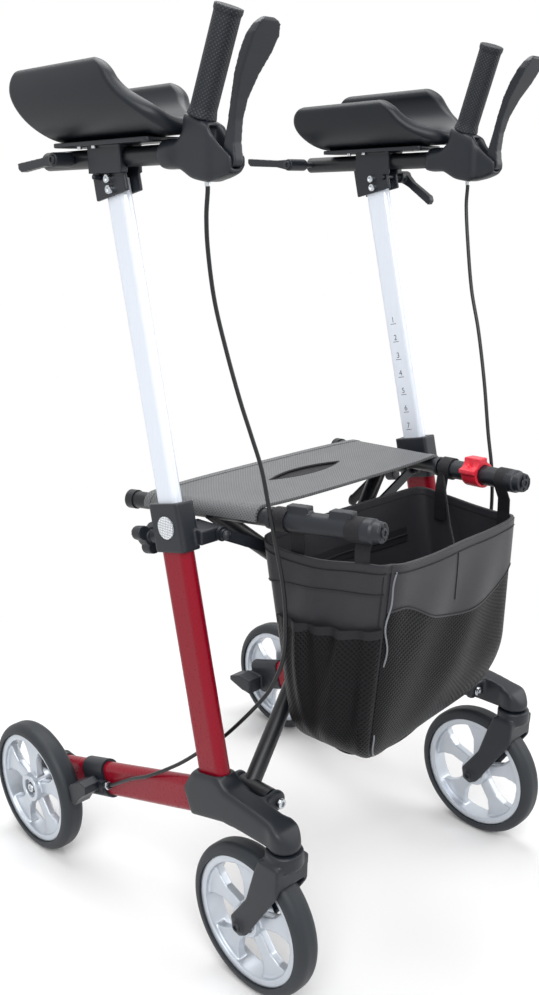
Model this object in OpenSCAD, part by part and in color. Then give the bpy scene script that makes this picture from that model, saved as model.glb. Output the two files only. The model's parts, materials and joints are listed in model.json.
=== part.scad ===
// Upright walker with forearm supports: two side frames joined by a folding cross,
// four wheels, telescoping posts, sliding handle tubes, cable brakes, a mesh seat and a bag.
// Millimetres. +Z is up, the front faces -Y, the user's left is +X,
// and the origin lies on the ground under the middle of the whole walker.

/* [Wheels] */
// Wheel diameter over the tyre
wheel_d = 200; // [192:1:206]
// Tyre width
tyre_w = 34; // [30:1:36]
// Distance between the middles of the front wheels
front_track = 484; // [478:1:492]
// Distance between the middles of the rear wheels
rear_track = 526; // [522:1:536]
// Distance from front axle to rear axle
wheelbase = 458; // [450:1:475]
// How far the swivel axis stands ahead of the front axle
caster_trail = 56; // [52:1:60]
// Axle diameter
axle_d = 12; // [10:0.5:13]

/* [Side frames] */
// Depth of the painted flat-oval tubes
tube_l = 49; // [47:0.5:50]
// Thickness of the painted flat-oval tubes
tube_t = 21; // [20:0.5:22]
// Wall of the painted tubes
tube_wall = 2; // [1.5:0.1:2.4]
// Rearward lean of the posts in degrees
post_lean = 11.6; // [10.8:0.1:12.2]
// Inward tilt of the posts in degrees
post_tilt = 0.6; // [0.2:0.1:0.8]
// Slope of the lower tubes in degrees
lower_slope = 16.7; // [16:0.1:17.2]
// Length of the painted post above its foot
post_len = 330; // [320:1:340]

/* [Telescoping posts] */
// Depth of the bright inner post
inner_l = 38; // [36:0.5:39]
// Thickness of the bright inner post
inner_t = 15; // [14:0.5:16]
// Length of the inner post seen between collar and bracket at rest
inner_out = 363; // [355:1:370]
// Sliding clearance round the inner post
slide_fit = 0.3; // [0.2:0.05:0.4]

/* [Forearm supports] */
// Handle tube diameter
bar_d = 22; // [21:0.5:23]
// Forearm pad length
pad_len = 251; // [245:1:258]
// Forearm pad outside width
pad_w = 122; // [118:1:124]
// Forearm pad thickness
pad_wall = 14; // [12:0.5:15]
// Roll of the pads in degrees, outer wall up
pad_roll = 11; // [9:0.5:12]
// Grip diameter
grip_d = 29; // [27:0.5:30]
// Grip length
grip_len = 110; // [104:1:114]

/* [Folding cross] */
// Cross tube and seat rail diameter
cross_d = 22; // [20:0.5:22]
// Hinge pin diameter
hinge_d = 10; // [9:0.5:11]
// Radial running clearance of pins and axles
run_fit = 0.05; // [0.02:0.01:0.1]

/* [Seat and bag] */
// Seat depth from back edge to front edge
seat_depth = 179; // [170:1:182]
// Seat cloth thickness
seat_t = 3; // [2:0.5:4]
// Bag height
bag_h = 268; // [258:1:274]
// Bag wall
bag_wall = 4; // [3:0.5:5]

/* [View] */
// Which node to draw

/* [Hidden] */
$fn = 48;
wheel_r = wheel_d / 2;
rim_r = wheel_r * 0.856;
front_x = front_track / 2;
rear_x = rear_track / 2;
rear_y = wheelbase;
swivel_y = -caster_trail;
seam_z = wheel_d + 24;
seam_d = 40;
crown_d = 46;
bag_front_y = -128;
y_mid = (rear_y + wheel_r + bag_front_y) / 2;

// Lower tubes: a line through one point beside the casting, sloping down to the rear
lower_x = rear_x - tyre_w / 2 - tube_t / 2 - 6.5;
lower_front_y = 100;
lower_front_z = wheel_d + 21;
lower_end_y = rear_y + 20;
lower_len = (lower_end_y - lower_front_y) / cos(lower_slope);

// Posts: foot of the painted tube, in its own leaning frame
post_x = front_x - 1.5;
post_y = 67.5;
post_z = wheel_d + 77;
post_sink = 34;
collar_h = 60;
collar_top = post_len + 10;
collar_front = -tube_l / 2 - 4.5;
collar_back = tube_l / 2 + 3.5;
collar_t = 28;
knob_w = collar_top - 43;
inner_tail = 115;

// Handle tubes
bar_x = post_x - 4.5;
bracket_w = collar_top + inner_out;
inner_top = bracket_w + 17;
bar_z = post_z + bracket_w * cos(post_lean) + 42.36;
bar_front_y = 66;
bracket_y = post_y + bracket_w * sin(post_lean) + 2.14;
bracket_l = 62;
bracket_t = 32;
plate_t = 5;
stud_y_r = bracket_y + 17;
stud_y_l = bracket_y - 23;
stud_z = bar_z - 21;
stop_y_r = bracket_y + 71;
stop_y_l = bracket_y + 124;
bar_end_y = stop_y_l + 11;
plate_z = bar_z + bar_d / 2 + 3;
pad_front_y = bracket_y - 129;
pad_z = plate_z + plate_t + pad_w / 2;

// Grip, brake lever and their pivot, on the middle plane of the handle
grip_x = bar_x - 2;
grip_foot = [grip_x, 58, bar_z + 35];
grip_lean = 21.9;
grip_tilt = 3;
lever_y = 10;
lever_z = bar_z - 9;

// Folding cross: hinge at the foot of each side, meeting point in the middle
hinge_x = front_x - 35;
hinge_z = wheel_d + 50;
hinge_y = 27;
cross_gap = 12;
cross_rise = post_len + 9;
seat_front_y = 46;
seat_back_y = seat_front_y + seat_depth;
rail_rear = [front_x - 41, seat_back_y + 32, hinge_z + cross_rise - 6.3];
rail_front = [front_x - 101, seat_front_y - 162, hinge_z + cross_rise + 14];
cross_run = hinge_x + front_x - 59;
cross_back = 109;
cross_slope = atan(cross_rise / cross_run);
cross_mid_z = hinge_z + hinge_x * tan(cross_slope);
cross_mid_y = hinge_y + cross_back * hinge_x / cross_run;
link_x = hinge_x - 7;
link_z = post_z + (collar_top - 38.85) * cos(post_lean);
link_q = 156.5;
cross_half = hinge_x / cos(cross_slope);
link_end_x = hinge_x - (cross_half - link_q) * cos(cross_slope);
link_end_z = hinge_z + (cross_half + link_q) * sin(cross_slope);
link_end_y = cross_mid_y + cross_back * link_q * cos(cross_slope) / cross_run;
link_side_gap = 0.6;
link_front = cross_d / 2 + link_side_gap + 7;
link_rear = cross_d / 2 + link_side_gap + 11;
rail_len = norm(rail_front - rail_rear);

// Seat
seat_lift = cross_d / 2 + 0.4;
seat_rear_rise = 6;

// Bag
bag_top_z = hinge_z + cross_rise - 24;
bag_rear_y = 58;
bag_half_r = 143;
bag_half_l = 147;

// Brakes
clamp_out = lower_x + tube_t / 2 + 4;
clamp_w0 = 125;
clamp_w1 = 175;
arm_pivot_y = 344;
arm_pivot_z = wheel_r + 38;
cable_d = 5;

red_paint = [0.52, 0.06, 0.11];
black_plastic = [0.13, 0.135, 0.15];
silver = [0.86, 0.88, 0.92];
zinc = [0.7, 0.71, 0.73];
tyre_black = [0.16, 0.165, 0.18];
mesh_grey = [0.47, 0.46, 0.44];
nylon = [0.22, 0.22, 0.24];
latch_red = [0.8, 0.12, 0.15];

// Helpers

module left_side() {
    translate([0, -y_mid, 0]) children();
}

module right_side() {
    mirror([1, 0, 0]) left_side() children();
}

// Flat-oval outline, long way along y
module flat_oval(l, t) {
    square([t, l - t], center = true);
    for (s = [-1, 1]) {
        translate([0, s * (l - t) / 2]) circle(d = t);
    }
}

// Rectangle with rounded corners, centred
module round_rect(w, h, r) {
    square([w - 2 * r, h], center = true);
    square([w, h - 2 * r], center = true);
    for (sx = [-1, 1], sy = [-1, 1]) {
        translate([sx * (w / 2 - r), sy * (h / 2 - r)]) circle(r = r);
    }
}

// Side view outline (y, z) made solid between two x positions
module side_profile(x0, x1) {
    translate([x0, 0, 0]) rotate([90, 0, 90]) linear_extrude(x1 - x0) children();
}

module across(y, z, d, x0, x1) {
    translate([x0, y, z]) rotate([0, 90, 0]) cylinder(d = d, h = x1 - x0);
}

module along(x, z, d, y0, y1) {
    translate([x, y0, z]) rotate([-90, 0, 0]) cylinder(d = d, h = y1 - y0);
}

module rod(p, q, d) {
    v = q - p;
    translate(p) rotate([0, acos(v[2] / norm(v)), atan2(v[1], v[0])]) cylinder(d = d, h = norm(v));
}

module box(x0, x1, y0, y1, z0, z1) {
    translate([x0, y0, z0]) cube([x1 - x0, y1 - y0, z1 - z0]);
}

// Leaning frame of a post, w = 0 at its foot
module on_post() {
    translate([post_x, post_y, post_z]) rotate([-post_lean, 0, 0]) rotate([0, -post_tilt, 0]) children();
}

// Sloping frame of a lower tube, starting at its rear end and running forward
module on_lower() {
    translate([lower_x, lower_end_y, lower_front_z - (lower_end_y - lower_front_y) * tan(lower_slope)])
        rotate([90 - lower_slope, 0, 0]) children();
}

// Frame of a seat rail, starting at its rear end and running forward along z
module on_rail() {
    v = rail_front - rail_rear;
    translate(rail_rear) rotate([0, acos(v[2] / norm(v)), atan2(v[1], v[0])]) children();
}

// Side frames

module lower_tube() {
    difference() {
        on_lower() linear_extrude(lower_len) difference() {
            flat_oval(tube_l, tube_t);
            flat_oval(tube_l - 2 * tube_wall, tube_t - 2 * tube_wall);
        }
        across(rear_y, wheel_r, axle_d + 2 * run_fit, lower_x - tube_t, lower_x + tube_t);
    }
}

module post_tube() {
    on_post() translate([0, 0, -post_sink]) linear_extrude(post_len + post_sink) difference() {
        flat_oval(tube_l, tube_t);
        flat_oval(tube_l - 2 * tube_wall, tube_t - 2 * tube_wall);
    }
}

// Arm outline in side view, from the tube socket round to the swivel
module casting_outline() {
    nose = swivel_y - seam_d / 2;
    half = tube_l / 2;
    polygon([
        [112, lower_front_z + half - 4.5], [98, lower_front_z - half + 10.5], [70, seam_z - 10],
        [38, seam_z - 2], [8, seam_z],
        [nose, seam_z], [nose, seam_z + 8], [nose + 6, seam_z + 18], [swivel_y - 6, seam_z + 28],
        [swivel_y + 12, seam_z + 34], [swivel_y + 34, seam_z + 38], [3, seam_z + 41], [30, seam_z + 44],
        [post_y - half + 3, seam_z + 56], [post_y + half + 2, seam_z + 46]
    ]);
}

// Arm outline seen from above
module casting_plan() {
    translate([front_x, swivel_y]) circle(d = seam_d);
    translate([front_x - 14, swivel_y]) square([30, 90]);
    translate([front_x - 17, 20]) square([33, 96]);
    translate([lower_x - tube_t / 2 - 4, 78]) square([front_x + 16 - lower_x + tube_t / 2 + 4, 38]);
}

module front_casting() {
    stem_hole = axle_d + 2 * run_fit;
    difference() {
        union() {
            intersection() {
                side_profile(front_x - 60, front_x + 40) casting_outline();
                linear_extrude(seam_z + 90) casting_plan();
            }
            on_post() translate([0, 0, -post_sink]) linear_extrude(post_sink)
                flat_oval(tube_l + 9, tube_t + 9);
            on_lower() translate([0, 0, lower_len - 22]) linear_extrude(22) flat_oval(tube_l + 6, tube_t + 8);
            hinge_lug(hinge_y - 39, hinge_y - 27);
            hinge_lug(hinge_y + 27, hinge_y + 39);
        }
        on_post() translate([0, 0, -post_sink]) linear_extrude(post_len) flat_oval(tube_l, tube_t);
        on_lower() linear_extrude(lower_len) flat_oval(tube_l, tube_t);
        translate([front_x, swivel_y, seam_z - 1]) cylinder(d = stem_hole, h = 24);
    }
    along(hinge_x, hinge_z, hinge_d, hinge_y - 43, hinge_y + 43);
}

// Ear on the inner side of the casting that holds one end of the hinge pin
module hinge_lug(y0, y1) {
    along(hinge_x, hinge_z, 28, y0, y1);
    box(hinge_x, front_x - 8, y0, y1, hinge_z - 11, hinge_z + 11);
}

// Collar with a tongue that holds the fold link at link_y
module collar(link_y) {
    bore = 8 + 2 * run_fit;
    tongue_front = link_y - link_front + link_side_gap;
    tongue_rear = link_y + link_rear - link_side_gap;
    difference() {
        union() {
            on_post() translate([0, (collar_front + collar_back) / 2, collar_top - collar_h])
                linear_extrude(collar_h) round_rect(collar_t, collar_back - collar_front, 5);
            on_post() translate([0, collar_back - 1, knob_w]) rotate([-90, 0, 0]) cylinder(d = 20, h = 12);
            box(link_x, post_x - 10, tongue_front, tongue_rear, link_z - 9, link_z + 9);
            along(link_x, link_z, 18, tongue_front, tongue_rear);
        }
        on_post() translate([0, 0, collar_top - collar_h - 1]) linear_extrude(collar_h - 9)
            flat_oval(tube_l, tube_t);
        on_post() translate([0, 0, collar_top - 11]) linear_extrude(12)
            flat_oval(inner_l + 2 * slide_fit, inner_t + 2 * slide_fit);
        on_post() translate([0, collar_back - 12, knob_w]) rotate([-90, 0, 0]) cylinder(d = bore, h = 30);
        on_post() translate([collar_t / 2 - 1, -2, collar_top - 29]) rotate([0, 90, 0])
            cylinder(d = 29, h = 2);
        along(link_x, link_z, 9 + 2 * run_fit, link_y - 40, link_y + 40);
    }
}

module reflector() {
    on_post() translate([collar_t / 2 - 1, -2, collar_top - 29]) rotate([0, 90, 0]) cylinder(d = 28, h = 2.5);
}

module height_knob() {
    on_post() translate([0, tube_l / 2 + 0.4, knob_w]) rotate([-90, 0, 0]) {
        cylinder(d = 8, h = 24);
        translate([0, 0, 16]) cylinder(d = 16, h = 12);
        translate([0, 0, 22]) linear_extrude(16) {
            circle(d = 25);
            for (a = [90, 210, 330]) {
                rotate(a) translate([13.5, 0]) circle(d = 18);
            }
        }
    }
}

// Plug on the rear end of the lower tube, with the axle and the kerb pedal
module rear_end() {
    inner_face = lower_x - tube_t / 2 - 3;
    difference() {
        union() {
            on_lower() translate([0, 0, -8]) linear_extrude(68) flat_oval(tube_l + 6, tube_t + 5);
            across(rear_y, wheel_r, 36, inner_face, rear_x - tyre_w / 2 - 2);
        }
        on_lower() linear_extrude(lower_len) flat_oval(tube_l, tube_t);
    }
    across(rear_y, wheel_r, axle_d, inner_face, rear_x + tyre_w / 2 - 8);
    across(rear_y, wheel_r, 18, rear_x + tyre_w / 2 - 8, rear_x + tyre_w / 2 - 4);
    side_profile(lower_x - 44, inner_face + 1.5) polygon([
        [rear_y + 4, wheel_r + 12], [rear_y + 4, wheel_r - 14], [rear_y + 26, wheel_r - 12],
        [rear_y + 58, wheel_r - 2], [rear_y + 58, wheel_r + 6], [rear_y + 34, wheel_r + 14]
    ]);
}

// Clamp on the lower tube with the arm pivot and the cable adjuster barrel
module brake_clamp() {
    barrel_x = clamp_out + 2.5;
    difference() {
        union() {
            on_lower() translate([0, 0, clamp_w0]) linear_extrude(clamp_w1 - clamp_w0)
                flat_oval(tube_l + 8, tube_t + 8);
            box(clamp_out - 3, barrel_x + 4, 305, 315, arm_pivot_z + 8, arm_pivot_z + 23);
        }
        on_lower() linear_extrude(lower_len) flat_oval(tube_l, tube_t);
    }
    across(arm_pivot_y, arm_pivot_z, 8, clamp_out - 2, clamp_out + 13);
    rod([barrel_x, 290, arm_pivot_z + 23.5], [barrel_x, 310, arm_pivot_z + 15.5], 8);
}

// Bent arm: the cable pulls its front end, its rear end carries the shoe in front of the tyre
module brake_arm() {
    shoe_gap = 3;
    difference() {
        side_profile(clamp_out + 0.5, rear_x + 8) polygon([
            [arm_pivot_y - 26, arm_pivot_z + 19], [arm_pivot_y - 12, arm_pivot_z + 22],
            [arm_pivot_y + 10, arm_pivot_z + 10], [arm_pivot_y + 24, arm_pivot_z - 4],
            [arm_pivot_y + 24, arm_pivot_z - 22], [arm_pivot_y + 4, arm_pivot_z - 23],
            [arm_pivot_y - 4, arm_pivot_z - 12], [arm_pivot_y - 14, arm_pivot_z - 2],
            [arm_pivot_y - 26, arm_pivot_z + 7]
        ]);
        across(arm_pivot_y, arm_pivot_z, 8 + 2 * run_fit, clamp_out - 5, clamp_out + 14);
        across(rear_y, wheel_r, wheel_d + 2 * shoe_gap, rear_x - tyre_w, rear_x + tyre_w);
    }
}

// Wheels

module fork_leg_outline() {
    polygon([
        [swivel_y - 15, seam_z - 12], [swivel_y + 18, seam_z - 12], [swivel_y + 26, seam_z - 31],
        [swivel_y + 42, seam_z - 78], [14, wheel_r + 8], [12, wheel_r - 10], [0, wheel_r - 15],
        [-12, wheel_r - 8],
        [swivel_y - 12, seam_z - 49]
    ]);
}

module caster_fork() {
    inner = tyre_w / 2 + 4;
    outer = inner + 6;
    difference() {
        union() {
            translate([front_x, swivel_y, seam_z - 20]) cylinder(d = crown_d, h = 19.5);
            side_profile(front_x - outer, front_x + outer) fork_leg_outline();
        }
        box(front_x - inner, front_x + inner, swivel_y - 60, 60, 0, wheel_r);
        across(0, wheel_r, wheel_d + 10, front_x - inner, front_x + inner);
    }
    across(0, wheel_r, axle_d, front_x - inner - 1, front_x + inner + 1);
    across(0, wheel_r, 17, front_x - outer - 3, front_x - outer + 1);
    across(0, wheel_r, 17, front_x + outer - 1, front_x + outer + 3);
    translate([front_x, swivel_y, seam_z - 6]) cylinder(d = axle_d, h = 28);
}

module tyre_section() {
    round = 12;
    shoulder = wheel_r - round;
    intersection() {
        union() {
            translate([rim_r, -tyre_w / 2]) square([shoulder - rim_r, tyre_w]);
            translate([rim_r, -tyre_w / 2 + round]) square([wheel_r - rim_r, tyre_w - 2 * round]);
            for (s = [-1, 1]) {
                translate([shoulder, s * (tyre_w / 2 - round)]) circle(r = round);
            }
        }
        translate([rim_r, -tyre_w / 2]) square([wheel_r - rim_r, tyre_w]);
    }
}

module tyre(x, y) {
    translate([x, y, wheel_r]) rotate([0, 90, 0]) rotate_extrude($fn = 96) tyre_section();
}

// Silver rim with five spokes that spread towards the outside
module rim(x, y) {
    translate([x, y, wheel_r]) rotate([0, 90, 0]) difference() {
        union() {
            rotate_extrude($fn = 96) translate([rim_r - 10, -tyre_w / 2 + 3]) square([10, tyre_w - 6]);
            translate([0, 0, -tyre_w / 2]) cylinder(d = 42, h = tyre_w);
            for (i = [0:4]) {
                rotate([0, 0, 72 * i + 18]) translate([0, 0, -4]) linear_extrude(12) polygon([
                    [-9, 14], [9, 14], [10, 48], [17, 62], [30, 76], [-30, 76], [-17, 62], [-10, 48]
                ]);
            }
        }
        translate([0, 0, -tyre_w]) cylinder(d = axle_d + 2 * run_fit, h = 2 * tyre_w);
        translate([0, 0, tyre_w / 2 - 9]) cylinder(d = 28, h = 10);
        rotate_extrude($fn = 96) translate([rim_r, -tyre_w]) square([20, 2 * tyre_w]);
    }
}

// Telescoping posts and forearm supports

module inner_post() {
    on_post() translate([0, 0, collar_top - inner_tail]) linear_extrude(inner_top - collar_top + inner_tail)
        difference() {
            flat_oval(inner_l, inner_t);
            flat_oval(inner_l - 4, inner_t - 4);
        }
}

// Bracket on the inner post with the plate that carries the pad
module top_bracket(stud_y) {
    cheek = 5;
    difference() {
        union() {
            translate([bar_x - bracket_t / 2, bracket_y - bracket_l / 2, bar_z - 17])
                cube([bracket_t, bracket_l, 17 + bar_d / 2 + 3]);
            on_post() translate([0, 0, bracket_w]) linear_extrude(38)
                round_rect(inner_t + 2 * cheek, bracket_l, 3);
            translate([bar_x, bracket_y - 2, plate_z - 0.5]) linear_extrude(plate_t + 0.5)
                round_rect(50, 182, 5);
        }
        on_post() linear_extrude(inner_top) flat_oval(inner_l, inner_t);
        on_post() translate([-inner_t / 2, -bracket_l, bracket_w - 1])
            cube([inner_t, 2 * bracket_l, 30]);
        along(bar_x, bar_z, bar_d + 2 * run_fit, bracket_y - 50, bracket_y + 50);
        across(stud_y, stud_z, 6 + 2 * run_fit, bar_x - 40, bar_x + 40);
    }
}

module bracket_bolts() {
    for (w = [bracket_w + 7, bracket_w + 19]) {
        on_post() translate([-inner_t / 2 - 9, -3, w]) rotate([0, 90, 0]) cylinder(d = 9, h = 4);
        on_post() translate([inner_t / 2 + 5, -3, w]) rotate([0, 90, 0]) cylinder(d = 9, h = 4);
    }
    for (y = [bracket_y + 12, bracket_y + 40]) {
        translate([bar_x + 19.5, y, plate_z - 3.5]) cylinder(d = 6, h = 3);
        translate([bar_x - 19.5, y, plate_z - 3.5]) cylinder(d = 6, h = 3);
    }
}

// Gutter section, open at the top, walls rounded over
module pad_section() {
    wall_top = 1;
    difference() {
        union() {
            circle(d = pad_w, $fn = 96);
            translate([-pad_w / 2, 0]) square([pad_w, wall_top]);
        }
        circle(d = pad_w - 2 * pad_wall, $fn = 96);
        translate([-pad_w / 2 + pad_wall, 0]) square([pad_w - 2 * pad_wall, pad_w]);
        translate([-pad_w, wall_top]) square([2 * pad_w, pad_w]);
    }
    for (s = [-1, 1]) {
        translate([s * (pad_w - pad_wall) / 2, wall_top]) circle(d = pad_wall);
    }
}

// Side view of the pad: round at the back, swept down to a low lip in front
module pad_outline() {
    back = pad_front_y + pad_len;
    low = pad_z - pad_w / 2;
    polygon([
        [pad_front_y, low - 4], [back - 62, low - 4], [back - 40, low + 3], [back - 22, low + 14],
        [back - 9, low + 28], [back - 2, low + 42], [back, low + 56], [back - 4, low + 70],
        [back - 15, low + 80],
        [back - 34, low + 90], [pad_front_y + 92, low + 90], [pad_front_y + 72, low + 79],
        [pad_front_y + 51, low + 72], [pad_front_y + 38, low + 60], [pad_front_y + 23, low + 44],
        [pad_front_y + 8, low + 28], [pad_front_y, low + 16]
    ]);
}

module forearm_pad() {
    intersection() {
        translate([bar_x, pad_front_y - 1, pad_z]) rotate([90, pad_roll, 180]) linear_extrude(pad_len + 2)
            pad_section();
        side_profile(bar_x - pad_w, bar_x + pad_w) pad_outline();
    }
}

module handle_tube(stop_y) {
    difference() {
        along(bar_x, bar_z, bar_d, bar_front_y, bar_end_y);
        along(bar_x, bar_z, bar_d - 4, bar_front_y - 1, bar_end_y - 4);
        across(stop_y, bar_z, 8 + 2 * run_fit, bar_x - 20, bar_x + 20);
    }
}

// Side view of the brake housing
module housing_outline() {
    polygon([
        [116, bar_z - 14], [86, bar_z - 15], [66, bar_z - 26], [46, bar_z - 30], [24, bar_z - 27],
        [8, bar_z - 22],
        [2, bar_z - 15], [3, bar_z - 5], [22, bar_z + 8], [30, bar_z + 16], [36, bar_z + 25.5],
        [74, bar_z + 40.6],
        [77, bar_z + 21], [90, bar_z + 11], [110, bar_z + 8]
    ]);
}

module brake_housing() {
    stem = bar_d - 4;
    difference() {
        union() {
            side_profile(grip_x - 11, grip_x + 11) housing_outline();
            intersection() {
                side_profile(grip_x - 15, grip_x + 13) housing_outline();
                along(grip_x, bar_z, 110, 34, 130);
            }
            along(bar_x, bar_z, 31, 92, 117);
            on_grip() cylinder(d = stem, h = grip_len - 6);
        }
        along(bar_x, bar_z, bar_d, bar_front_y, 200);
        box(grip_x - 8, grip_x + 8, -30, 46, lever_z - 9.5, bar_z + 26);
        translate([grip_x, 52, bar_z - 40]) cylinder(d = cable_d + 1.4, h = 20);
    }
    across(lever_y, lever_z, 6, grip_x - 11, grip_x + 11);
}

module on_grip() {
    translate(grip_foot) rotate([grip_lean, 0, 0]) rotate([0, -grip_tilt, 0]) children();
}

module grip() {
    on_grip() difference() {
        union() {
            cylinder(d1 = grip_d + 4, d2 = grip_d, h = 10);
            translate([0, 0, 10]) cylinder(d = grip_d, h = grip_len - 16);
            translate([0, 0, grip_len - 6]) cylinder(d = grip_d + 2, h = 6);
        }
        translate([0, 0, -1]) cylinder(d = bar_d - 4 + 2 * run_fit, h = grip_len - 5);
    }
}

// Side and front views of the brake lever
module lever_outline() {
    translate([lever_y, lever_z]) {
        circle(r = 8);
        polygon([
            [8, 0], [9, 14], [1, 38], [-6, 58], [-17, 81], [-29, 99], [-41, 115], [-50, 127], [-55, 128],
            [-58, 124], [-52, 113], [-41, 97], [-27, 79], [-15, 57], [-9, 38], [-6, 16], [-8, 0]
        ]);
    }
}

module lever_front() {
    polygon([
        [-6.5, -9], [6.5, -9], [6.5, 36], [8.5, 58], [13, 81], [16.5, 99], [17.5, 113], [14, 122], [7, 128],
        [-7, 128], [-14, 122], [-17.5, 113], [-16.5, 99], [-13, 81], [-8.5, 58], [-6.5, 36]
    ]);
}

module brake_lever() {
    difference() {
        intersection() {
            side_profile(grip_x - 24, grip_x + 24) lever_outline();
            translate([grip_x, 60, lever_z]) rotate([90, 0, 0]) linear_extrude(120) lever_front();
        }
        across(lever_y, lever_z, 6 + 2 * run_fit, grip_x - 20, grip_x + 20);
    }
}

// Clamp lever with its stud along x; the stud starts at the origin and the arm points to +y
module clamp_lever(stud_d, stud_len, bare, hub_len, arm_len, arm_drop) {
    rotate([0, 90, 0]) cylinder(d = stud_d, h = stud_len);
    translate([bare, 0, 0]) rotate([0, 90, 0]) cylinder(d = 17, h = hub_len);
    rotate([-arm_drop, 0, 0]) {
        translate([bare + hub_len - 12, 0, 0]) rotate([90, 0, 90]) linear_extrude(10) polygon([
            [0, -8], [arm_len * 0.3, -5], [arm_len - 6, -7], [arm_len, -3], [arm_len, 4],
            [arm_len * 0.3, 5], [0, 8]
        ]);
    }
}

// Brake cables: hand-laid routes from the handle to the adjuster beside the rear wheel

cable_route_l = [
    [234, 52, 986], [234, 52, 970], [232.5, 52, 945], [227, 44, 901], [220, 30, 836], [214, 12, 781],
    [206, -6, 714], [198, -21, 646],
    [193, -33, 594], [191, -36, 540], [191, -30, 490], [193, -12, 440], [200, 16, 385], [213, 74, 312],
    [222, 107, 283], [231, 150, 247], [243.5, 200, 214], [245.5, 240, 193], [246, 289, 162]
];
cable_route_r = [
    [234, 52, 986], [234, 52, 970], [232, 58, 942], [226, 64, 905], [218, 65, 852], [210, 57, 797],
    [203, 44, 741], [196, 34, 700],
    [190, 24, 660], [187, 16, 613], [186, 8, 575], [184, 0, 533], [185, -6, 491], [189, -7, 440],
    [194, 6, 400],
    [201, 24, 370], [213, 74, 312], [222, 107, 283], [231, 150, 247], [243.5, 200, 214], [245.5, 240, 193],
    [246, 289, 162]
];

// Heights above the foot of the post stretch with the height of the handle
function cable_z(z) = z < 312 ? z : 312 + (z - 312) * (bar_z - 334) / 674;
function at_height(p) = [for (q = p) [q[0], q[1], cable_z(q[2])]];

function bend(a, b, c, d, t) = 0.5 * ((2 * b) + (c - a) * t + (2 * a - 5 * b + 4 * c - d) * t * t
    + (3 * b - a - 3 * c + d) * t * t * t);
function route_point(p, i, t) = bend(p[max(i - 1, 0)], p[i], p[i + 1], p[min(i + 2, len(p) - 1)], t);
function smooth_route(p, n) = concat(
    [for (i = [0:len(p) - 2], k = [0:n - 1]) route_point(p, i, k / n)], [p[len(p) - 1]]);
function heading(p, i) = let (v = p[min(i + 1, len(p) - 1)] - p[max(i - 1, 0)]) v / norm(v);
function side_of(v) = let (s = cross(v, [1, 0, 0.2])) s / norm(s);

// One unbroken tube through all the points of a route
module swept_tube(route, d, sides) {
    n = len(route);
    rings = [for (i = [0:n - 1], k = [0:sides - 1])
        let (v = heading(route, i), s = side_of(v), u = cross(v, s))
        route[i] + d / 2 * (cos(360 * k / sides) * s + sin(360 * k / sides) * u)];
    walls = [for (i = [0:n - 2], k = [0:sides - 1], h = [0, 1])
        let (a = i * sides + k, b = i * sides + (k + 1) % sides)
        h == 0 ? [a, b, b + sides] : [a, b + sides, a + sides]];
    caps = [for (k = [1:sides - 2], h = [0, 1])
        h == 0 ? [0, k + 1, k] : [(n - 1) * sides, (n - 1) * sides + k, (n - 1) * sides + k + 1]];
    polyhedron(points = rings, faces = concat(walls, caps));
}

// Folding cross

// Cross tube hinged on the right foot (side = -1) or the left foot (side = 1), with the rail it carries
module cross_bar(side) {
    dy = -side * cross_gap;
    foot = [side * hinge_x, hinge_y + dy, hinge_z];
    head = [side * (hinge_x - cross_run), hinge_y + dy + cross_back, hinge_z + cross_rise];
    pin = 2 * run_fit;
    difference() {
        union() {
            rod(foot, head, cross_d);
            along(side * hinge_x, hinge_z, hinge_d + 14, hinge_y - 26, hinge_y + 26);
            mirror([side > 0 ? 1 : 0, 0, 0]) seat_rail();
        }
        along(side * hinge_x, hinge_z, hinge_d + pin, hinge_y - 40, hinge_y + 40);
        if (side > 0) {
            along(0, cross_mid_z, hinge_d + pin, cross_mid_y - 40, cross_mid_y + 30);
        }
    }
    if (side < 0) {
        along(0, cross_mid_z, hinge_d, cross_mid_y - cross_gap - cross_d / 2 - 6, cross_mid_y + cross_gap);
    }
}

module seat_rail() {
    on_rail() cylinder(d = cross_d, h = rail_len);
    on_rail() translate([0, 0, -5]) cylinder(d = cross_d + 3, h = 12);
}

// Moulded front half of a rail: sleeve, bag clips and round end
module rail_grip() {
    on_rail() difference() {
        union() {
            translate([0, 0, rail_len - 156]) cylinder(d = cross_d + 5, h = 8);
            translate([0, 0, rail_len - 140]) cylinder(d = cross_d + 4, h = 136);
            translate([0, 0, rail_len - 24]) cylinder(d = cross_d + 8, h = 14);
            translate([0, 0, rail_len - 4]) cylinder(d = cross_d + 3, h = 5);
        }
        translate([0, 0, rail_len - 200]) cylinder(d = cross_d, h = 200);
    }
}

// Two saddle humps on top of the right sleeve
module saddle_humps() {
    on_rail() for (w = [rail_len - 126, rail_len - 66]) {
        difference() {
            translate([-(cross_d / 2 + 9), -7, w]) cube([12, 14, 30]);
            translate([0, 0, w - 1]) cylinder(d = cross_d + 4, h = 40);
        }
    }
}

// Red catch on the left sleeve with a cradle that faces the other rail
module latch_body() {
    on_rail() translate([0, 0, rail_len - 95]) difference() {
        union() {
            cylinder(d = cross_d + 13, h = 27);
            translate([-23, -22, 0]) cube([21, 28, 27]);
        }
        translate([0, 0, -1]) cylinder(d = cross_d + 4, h = 40);
        translate([-21, -23, -1]) cylinder(d = 25, h = 40);
        translate([-40, -40, 10]) cube([30, 30, 7]);
    }
}

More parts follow.
